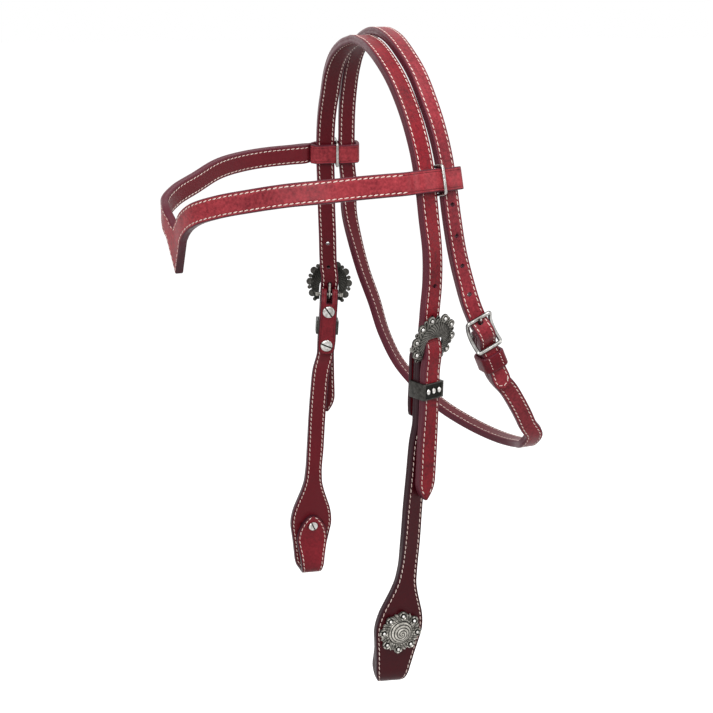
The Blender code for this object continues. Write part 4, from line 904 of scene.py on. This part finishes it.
# The berry's low values darken its lower sides and foot: painted shade where it sits in its cup.
BERRY = raised(0, (
    (0, 1.25, 0), (0.48, 1.16, 0), (0.88, 0.88, 0.1), (1.15, 0.45, 0.5), (1.22, 0, 0.9), (1.22, -1, 1),
    (0, -1, 1),
))
CUP = raised(0, (
    (0, 0.2, 0.9), (1.3, 0.2, 1), (1.9, 0.45, 0.9), (2.3, 1, 0.15), (2.7, 1.2, 0), (3.15, 1, 0.1),
    (3.4, 0.5, 0.8), (3.4, -0.8, 0.9), (3.1, -1.1, 0.85), (0, -1.1, 0.85),
))
berry_metal = bright("berry_nickel", 0.26, 0.8)
BERRY_PLACES = ((15.4, -1), (18.1, 9.6), (14.8, 20), (6.8, 25.8))
NUB_PLACES = ((18.4, 4.3), (18, 15), (11.4, 24.2), (0, 27), (12.8, -6.6))
ARCH_OUT = (
    (12.6, -7.2), (14, -3), (16, 1.5), (17.2, 6), (17.4, 11), (16.2, 16), (13.8, 20.6), (10.2, 24),
    (5.6, 26), (0, 26.6),
)
ARCH_IN = (
    (9, -6.6), (8.9, -3.6), (8.9, -0.6), (8.9, 2.4), (8.9, 5.4), (8.6, 7.8), (7.6, 9.6), (5.6, 10.4),
    (3, 10.7), (0, 10.8),
)


def bowed_height(bm):
    """Bows the arch outward between its edges, most over the strap."""
    for vert in bm.verts:
        x, y = vert.co.x, vert.co.y
        share = min(1.0, max(0, (hypot(x, (y - 0.007) * 0.95) - 0.006) / 0.0125))
        over_strap = min(1.0, max(0, (y - 0.006) / 0.006))
        vert.co.z = 0.0013 + 0.0012 * sin(pi * share) + 0.0009 * over_strap * (1.0 - share)


arch_look, cast_look = antique("buckle_pewter", 0.21, feathers), antique("lobe_pewter", 0.36)
STAND_OFF = 2.2 * FOLD
for side, word in SIDES:
    spot = bar_spot(side)
    grid = spot.grid(STAND_OFF, 0, 0, 14.0)
    bm = bmesh.new()
    chains = []
    for half in (ARCH_OUT, ARCH_IN):
        line = [bm.verts.new((x * MM, y * MM, 0)) for x, y in half + tuple((-x, y) for x, y in half[-2::-1])]
        chains += [bm.edges.new(pair) for pair in zip(line, line[1:])]
    bmesh.ops.bridge_loops(bm, edges=chains)
    ribs = [edge for edge in bm.edges if len(edge.link_faces) == 2 or edge.calc_length() > 0.005]
    ribs = [edge for edge in ribs if edge not in chains]
    bmesh.ops.subdivide_edges(bm, edges=ribs, cuts=4, use_grid_fill=True)
    bowed_height(bm)
    bmesh.ops.recalc_face_normals(bm, faces=bm.faces)
    bmesh.ops.solidify(bm, geom=bm.faces[:], thickness=0.0022)
    low = bm.verts.layers.float.new("low")
    for vert in bm.verts:
        vert[low] = 0.85 if vert.co.z < 0.00125 else 0
    bmesh.ops.transform(bm, matrix=grid, verts=bm.verts)
    note_spot(bm, grid)
    finish_piece(word + "_buckle_arch", bm, arch_look, word + "_cheek_buckle_frame", word + "_frame")
    bm = bmesh.new()
    berries = bmesh.new()
    for sign in (1, -1):
        for across, up in BERRY_PLACES:
            here = grid @ Matrix.Translation((sign * across * MM, up * MM, 0))
            turn_shape(bm, CUP, here @ Matrix.Translation((0, 0, 0.0009)), 28)
            turn_shape(berries, BERRY, here @ Matrix.Translation((0, 0, 0.0016)) @ Matrix.Scale(1.25, 4), 16)
        for across, up in NUB_PLACES:
            here = grid @ Matrix.Translation((sign * across * MM, up * MM, 0.0004))
            turn_shape(bm, CUP, here @ Matrix.Scale(0.55, 4), 16)
        deep = STAND_OFF + BAR + 0.0006
        lug = spot.grid(deep / 2 - BAR, sign * (STRAP / 2 + 4 * FIT + 0.00185), 0)
        lug = lug @ Matrix.Diagonal((0.0036, 2 * BAR, deep, 1.0))
        made = bmesh.ops.create_cube(bm, size=1.0, matrix=lug)["verts"]
        soften(bm, list({edge for vert in made for edge in vert.link_edges}), 0.0006, 3)
    add_pin(bm, spot.origin, spot.rear, BAR * 0.97, STRAP + 0.005, 28)
    finish_piece(word + "_buckle_lobes", bm, cast_look, None, word + "_frame")
    finish_piece(word + "_buckle_berries", berries, berry_metal, None, word + "_frame")
    bm = bend_tongue(spot, CHEEK_TONGUE, 0.0013, 0.0009)
    finish_piece(word + "_tongue", bm, cast_look, word + "_cheek_buckle_tongue", word + "_tongue")

# Keepers: antiqued metal loops round the folded stack under each cart buckle. The sides are plain, the front
# has a rim above and below a dark channel with three bright berries.
tall, back, front, cheek = 0.0128, 0.0014, 0.0016, 0.0022
inner_back, inner_front = -BAR - 2 * FIT, BILLET + PLY + FIT
wide = STRAP + 2 * FIT
deep = inner_front - inner_back + front + back
shift = (back - front) / 2
for side, word in SIDES:
    grid = bar_spot(side).grid((inner_front + inner_back) / 2 - shift, 0, sum(SCREW_DROPS) / 2)
    bm = bmesh.new()
    bmesh.ops.create_cube(bm, size=1.0, matrix=Matrix.Diagonal((wide + 2 * cheek, tall, deep, 1.0)))
    posts = [edge for edge in bm.edges if abs((edge.verts[0].co - edge.verts[1].co).y) > tall / 2]
    soften(bm, posts, 0.0011, 4)
    lids = [face for face in bm.faces if abs(face.normal.y) > 0.9]
    bmesh.ops.inset_individual(bm, faces=lids, thickness=0.0013)
    lids = [face for face in bm.faces if abs(face.normal.y) > 0.9 and len(face.verts) > 4]
    rims = [edge for face in lids for edge in face.edges]
    inner = {vert for edge in rims for vert in edge.verts}
    across, through = max(vert.co.x for vert in inner), max(vert.co.z for vert in inner)
    for vert in inner:
        vert.co.x *= wide / 2 / across
        vert.co.z = vert.co.z * (inner_front - inner_back) / 2 / through + shift
    bmesh.ops.delete(bm, geom=lids, context="FACES_ONLY")
    bmesh.ops.bridge_loops(bm, edges=rims)
    bmesh.ops.recalc_face_normals(bm, faces=bm.faces)
    low = bm.verts.layers.float.new("low")
    face = max((f for f in bm.faces if f.normal.z > 0.95), key=lambda f: f.calc_center_median().z)
    bmesh.ops.inset_individual(bm, faces=[face], thickness=0.0012, depth=0)
    bmesh.ops.inset_individual(bm, faces=[face], thickness=0.0004, depth=-0.0009)
    for vert in face.verts:
        vert[low] = 1.0
    steep = radians(50)
    soften(bm, [e for e in bm.edges if len(e.link_faces) == 2 and e.calc_face_angle(0.0) > steep], 0.00028, 2)
    berries = bmesh.new()
    for across in (-0.0056, 0, 0.0056):
        here = grid @ Matrix.Translation((across, 0, deep / 2 - 0.0008))
        turn_shape(berries, BERRY, here @ Matrix.Diagonal((1.5, 2.0, 1.5, 1.0)), 18)
    bmesh.ops.transform(bm, matrix=grid, verts=bm.verts)
    pewter = antique(word + "_keeper_pewter", 0.07)
    finish_piece(word + "_keeper_loop", bm, pewter, word + "_cheek_keeper", word + "_keeper")
    finish_piece(word + "_keeper_berries", berries, berry_metal, None, word + "_keeper")

# Leather screws: two-part nickel screws through each folded stack. The flat head of the post lies flush in the
# outer face under the billet, and the slotted screw shows inside on the turned-back ply.
def slotted(name, profile, grid, slot, node, turn):
    """A turned head with a screwdriver slot of (length, width, depth, height) cut in it."""
    bm = bmesh.new()
    turn_shape(bm, profile, grid, 40)
    piece = finish_piece(name, bm, screw_look, node, "headstall")
    *size, height = slot
    place = grid @ Matrix.Rotation(turn, 4, "Z") @ Matrix.Translation((0, 0, height))
    cutter = bmesh.new()
    bmesh.ops.create_cube(cutter, size=1.0, matrix=place @ Matrix.Diagonal((*size, 1.0)))
    # The slot's faces take the second, near-black material: painted shade in the slot.
    for face in cutter.faces:
        face.material_index = 1
    punch(piece, [as_object("slot_tool", cutter)])


SHANK = 0.0013
# The second material is near black: painted shade for the screwdriver slots.
screw_look = (bright("screw_nickel", 0.24, 0.66), antique("slot_painted_shade", 0.05))
top, foot = MAIN + PLY - FIT / 2, BACK - PLY / 2 + FIT
head = foot - 2 * FIT
bore = foot + 0.6 * (top - 0.0011 - foot)
# Low values darken the nickel under the post's flange, down the shank and in the bore: painted shade.
post = raised(top, ((0, 0, 0), (4.3, 0, 0), (4.7, -0.3, 0), (4.7, -1.1, 0.2), (2.4, -1.1, 0.4)))
post += [(0.0024, foot, 0.4), (SHANK + FIT, foot, 0.6), (SHANK + FIT, bore, 0.8), (0, bore, 0.8)]
screw = [(0, bore - FIT, 0), (SHANK, bore - FIT, 0), (SHANK, head, 0.2)]
screw += raised(head, (
    (5.335, 0, 0), (5.5, -0.2, 0), (5.5, -0.7, 0), (5.225, -1.1, 0), (4.51, -1.42, 0), (2.75, -1.58, 0),
    (0, -1.6, 0),
))
for side, word in SIDES:
    for drop, place, turn in zip(SCREW_DROPS, ("upper", "lower"), (0.9, 0.35)):
        base, name = bar_spot(side).grid(0, 0, drop), f"{word}_{place}"
        slotted(name + "_post_body", post, base, (0.007, 0.0009, 0.001, top), name + "_post", turn)
        slotted(name + "_screw_body", screw, base, (0.013, 0.0014, 0.002, head - 0.0016), name + "_screw", turn)

# Conchos: cast antiqued rosettes screwed through the paddles. A dome with engraved swirls rises in the middle,
# and eight lobes round the rim each hold a bright berry in a ring.
ROSE, LOBES = 0.01825, 8
LOBE_AWAY, LOBE_RADIUS = 0.0146, 0.0034
PAD = PLY + FIT


def rim_reach(angle):
    """How far out the rim reaches at an angle, over its lobes and the leaf tips between."""
    part = (angle * LOBES / (2 * pi) + 0.5) % 1.0 - 0.5
    delta = part * 2 * pi / LOBES
    beside = LOBE_AWAY * sin(delta)
    leaf = 0.016 + 0.0013 * max(0, 1.0 - abs(abs(part) - 0.5) / 0.1)
    if abs(beside) >= LOBE_RADIUS:
        return leaf
    return max(leaf, LOBE_AWAY * cos(delta) + sqrt(LOBE_RADIUS**2 - beside**2))


def scallop(vert):
    """Draws the rim of the turned rose in and out to its lobes and leaf tips."""
    reach = vert.co.xy.length
    if reach > 0.015:
        scale = rim_reach(atan2(vert.co.y, vert.co.x)) / ROSE - 1.0
        vert.co.xy *= 1.0 + scale * min(1.0, (reach - 0.015) / 0.0022)


def swirls(look):
    """Curved gadroons on the dome and scroll cuts between the lobes."""
    angle, away = polar(look)
    cuts = []
    for arms, curl, sharp in ((2.0, 2900.0, -0.2), (32.0, -900.0, 0.3)):
        turn = look.reckon("MULTIPLY_ADD", angle, arms, look.reckon("MULTIPLY", away, curl))
        cuts.append(strokes(look, turn, sharp))
    return look.between(look.span(away, 0.0102, 0.0106), *cuts)


flap = -PLY - FIT - FLAP
head = flap - FIT
rose = raised(PAD, (
    (0, 5.8, 0), (2.6, 5.6, 0), (5.2, 5, 0), (7.4, 4.1, 0), (9.1, 3.1, 0), (10, 2.4, 0.3), (10.4, 2, 0.9),
    (10.8, 2.3, 0.2), (11.3, 2.4, 0), (11.8, 2.1, 0.3), (12.4, 1.8, 0.7), (15, 1.8, 0.5), (17.2, 2.1, 0.1),
    (17.9, 1.9, 0), (18.25, 1.2, 0.1), (18.25, 0.3, 0.3), (17.8, 0, 0.3), (2.4, 0, 0.4),
))
rose += [(0.0024, flap + FIT, 0.4), (SHANK + FIT, flap + FIT, 0.6), (SHANK + FIT, flap * 0.3, 0.8)]
rose.append((0, flap * 0.3, 0.8))
# The low value on the shank is painted shade under the head.
screw = [(0, flap * 0.3 - FIT, 0), (SHANK, flap * 0.3 - FIT, 0), (SHANK, head, 0.2)]
screw += raised(head, ((4.2, 0, 0), (4.3, -0.2, 0), (4.3, -0.8, 0), (3.9, -1.2, 0), (3, -1.52, 0), (0, -1.6, 0)))
for side, word in SIDES:
    base = paddle_spot(side).grid()
    bm = bmesh.new()
    berries = bmesh.new()
    turn_shape(bm, rose, base, 128, scallop)
    for a in (2 * pi * k / LOBES for k in range(LOBES)):
        here = base @ Matrix.Translation((LOBE_AWAY * cos(a), LOBE_AWAY * sin(a), PAD + 0.0019))
        turn_shape(bm, CUP[:8], here @ Matrix.Diagonal((1.1, 1.1, 1.15, 1.0)), 28)
        turn_shape(berries, BERRY, here @ Matrix.Translation((0, 0, 0.0008)) @ Matrix.Scale(1.2, 4), 16)
    note_spot(bm, base)
    pewter = antique(word + "_concho_pewter", 0.66, swirls)
    finish_piece(word + "_concho_rose", bm, pewter, word + "_concho")
    finish_piece(word + "_concho_berries", berries, berry_metal, None)
    slot = (0.01, 0.0012, 0.0016, head - 0.0016)
    slotted(word + "_concho_screw_body", screw, base, slot, word + "_concho_screw", 1.1)

# Throat buckle: a nickel frame of flat bevelled bar, arched so that the strap lies under its ends, with a wire
# centre bar and a tongue that rests over the upper end.
spot = throat_spot()
wide, tall = 0.0228 / 2 - WIRE, FRAME_END
flat = round_corners((1.0, 0), (0, 1.0), wide, tall, 1.4 * WIRE)
path = []
for first, second in zip(flat, flat[1:] + flat[:1]):
    parts = max(1, round(float(np.linalg.norm(second - first)) / 0.0018))
    for k in range(parts):
        across, along = first + (second - first) * k / parts
        path.append(spot.at(ARCH * (along / tall) ** 2, across, along))
bar_section = [(0.0015, 0.0005), (0.0007, 0.0012), (-0.0007, 0.0012), (-0.0015, 0.0005)]
bar_section += [(-a, -b) for a, b in bar_section]
bm = draw_wire(path, bar_section, spot.out)
# Painted shade: the low value blackens the bar's outer side facets, in place of the dark reflections they would
# show.
number, low = bm.verts.layers.int["number"], bm.verts.layers.float.new("low")
for vert in bm.verts:
    vert[low] = 1.0 if vert[number] in (0, 3, 4, 7) else 0
add_pin(bm, spot.origin, spot.rear, WIRE * 0.93, 2 * wide, 20)
frame_nickel = bright("throat_nickel", 0.2, 0.52)
finish_piece("throat_buckle_bar", bm, frame_nickel, "throat_buckle_frame", "throat_frame")
bm = bend_tongue(spot, THROAT_TONGUE, 0.001, 0.0007)
# The tongue's nickel is a darker copy of the frame's: painted shade.
shaded_tongue_nickel = bright("shaded_tongue_nickel", 0.25, 0.34)
finish_piece("throat_tongue_wire", bm, shaded_tongue_nickel, "throat_buckle_tongue", "throat_tongue")

# Throat keeper: a leather loop under the throat buckle, one ply bent square round both straps, with a
# crease along each edge painted as a dark line of shade, and two rows of small stitches down its front.
front, back = UNDER + SLIM / 2 + SLIP, BAND - SLIM / 2 - SLIP
ply, long = 0.0024, 0.013
middle = spot.at((front + back) / 2, 0, -1.98 * FRAME_END)
deep, wide = (front - back + ply) / 2, (NARROW + 2 * SLIP + ply) / 2
path = [middle + spot.out * a + spot.rear * b for a, b in round_corners((1.0, 0), (0, 1.0), deep, wide, 0.0036)]
half, thin = long / 2, ply / 2
corner = [(thin, half - 0.0012), (thin - 0.00008, half - 0.0006), (thin - 0.0005, half)]
loop_section = corner + [(-a, b) for a, b in corner[::-1]] + [(-a, -b) for a, b in corner]
bm = draw_wire(path, loop_section + [(a, -b) for a, b in corner[::-1]], spot.up)
# The rim value sets the dark edge dye at the top and bottom edges, fading inward as painted shade, and a dark
# crease line of painted shade inside each.
rim = bm.verts.layers.float.new("rim")
for vert in bm.verts:
    vert[rim] = half + 0.0006 - abs(float(np.dot(np.array(vert.co) - middle, spot.up)))
keeper_look = leather("keeper_oxblood", (0.07, 0.004, 0.009), (0.18, 0.01, 0.018))
finish_piece("throat_loop", bm, keeper_look, "throat_keeper", "headstall")
face = middle + spot.out * (deep + thin - 0.0001)
PITCH = 0.0027
STITCH.transform(Matrix.Diagonal((0.55, 0.7, 0.8, 1.0)))
levels = (half - 0.0004, 0, 0.0004 - half)
edges = (NARROW / 2 - INSET, INSET - NARROW / 2)
sew("throat_loop_stitching", [[(face + spot.rear * b + spot.up * up, spot.out) for up in levels] for b in edges])
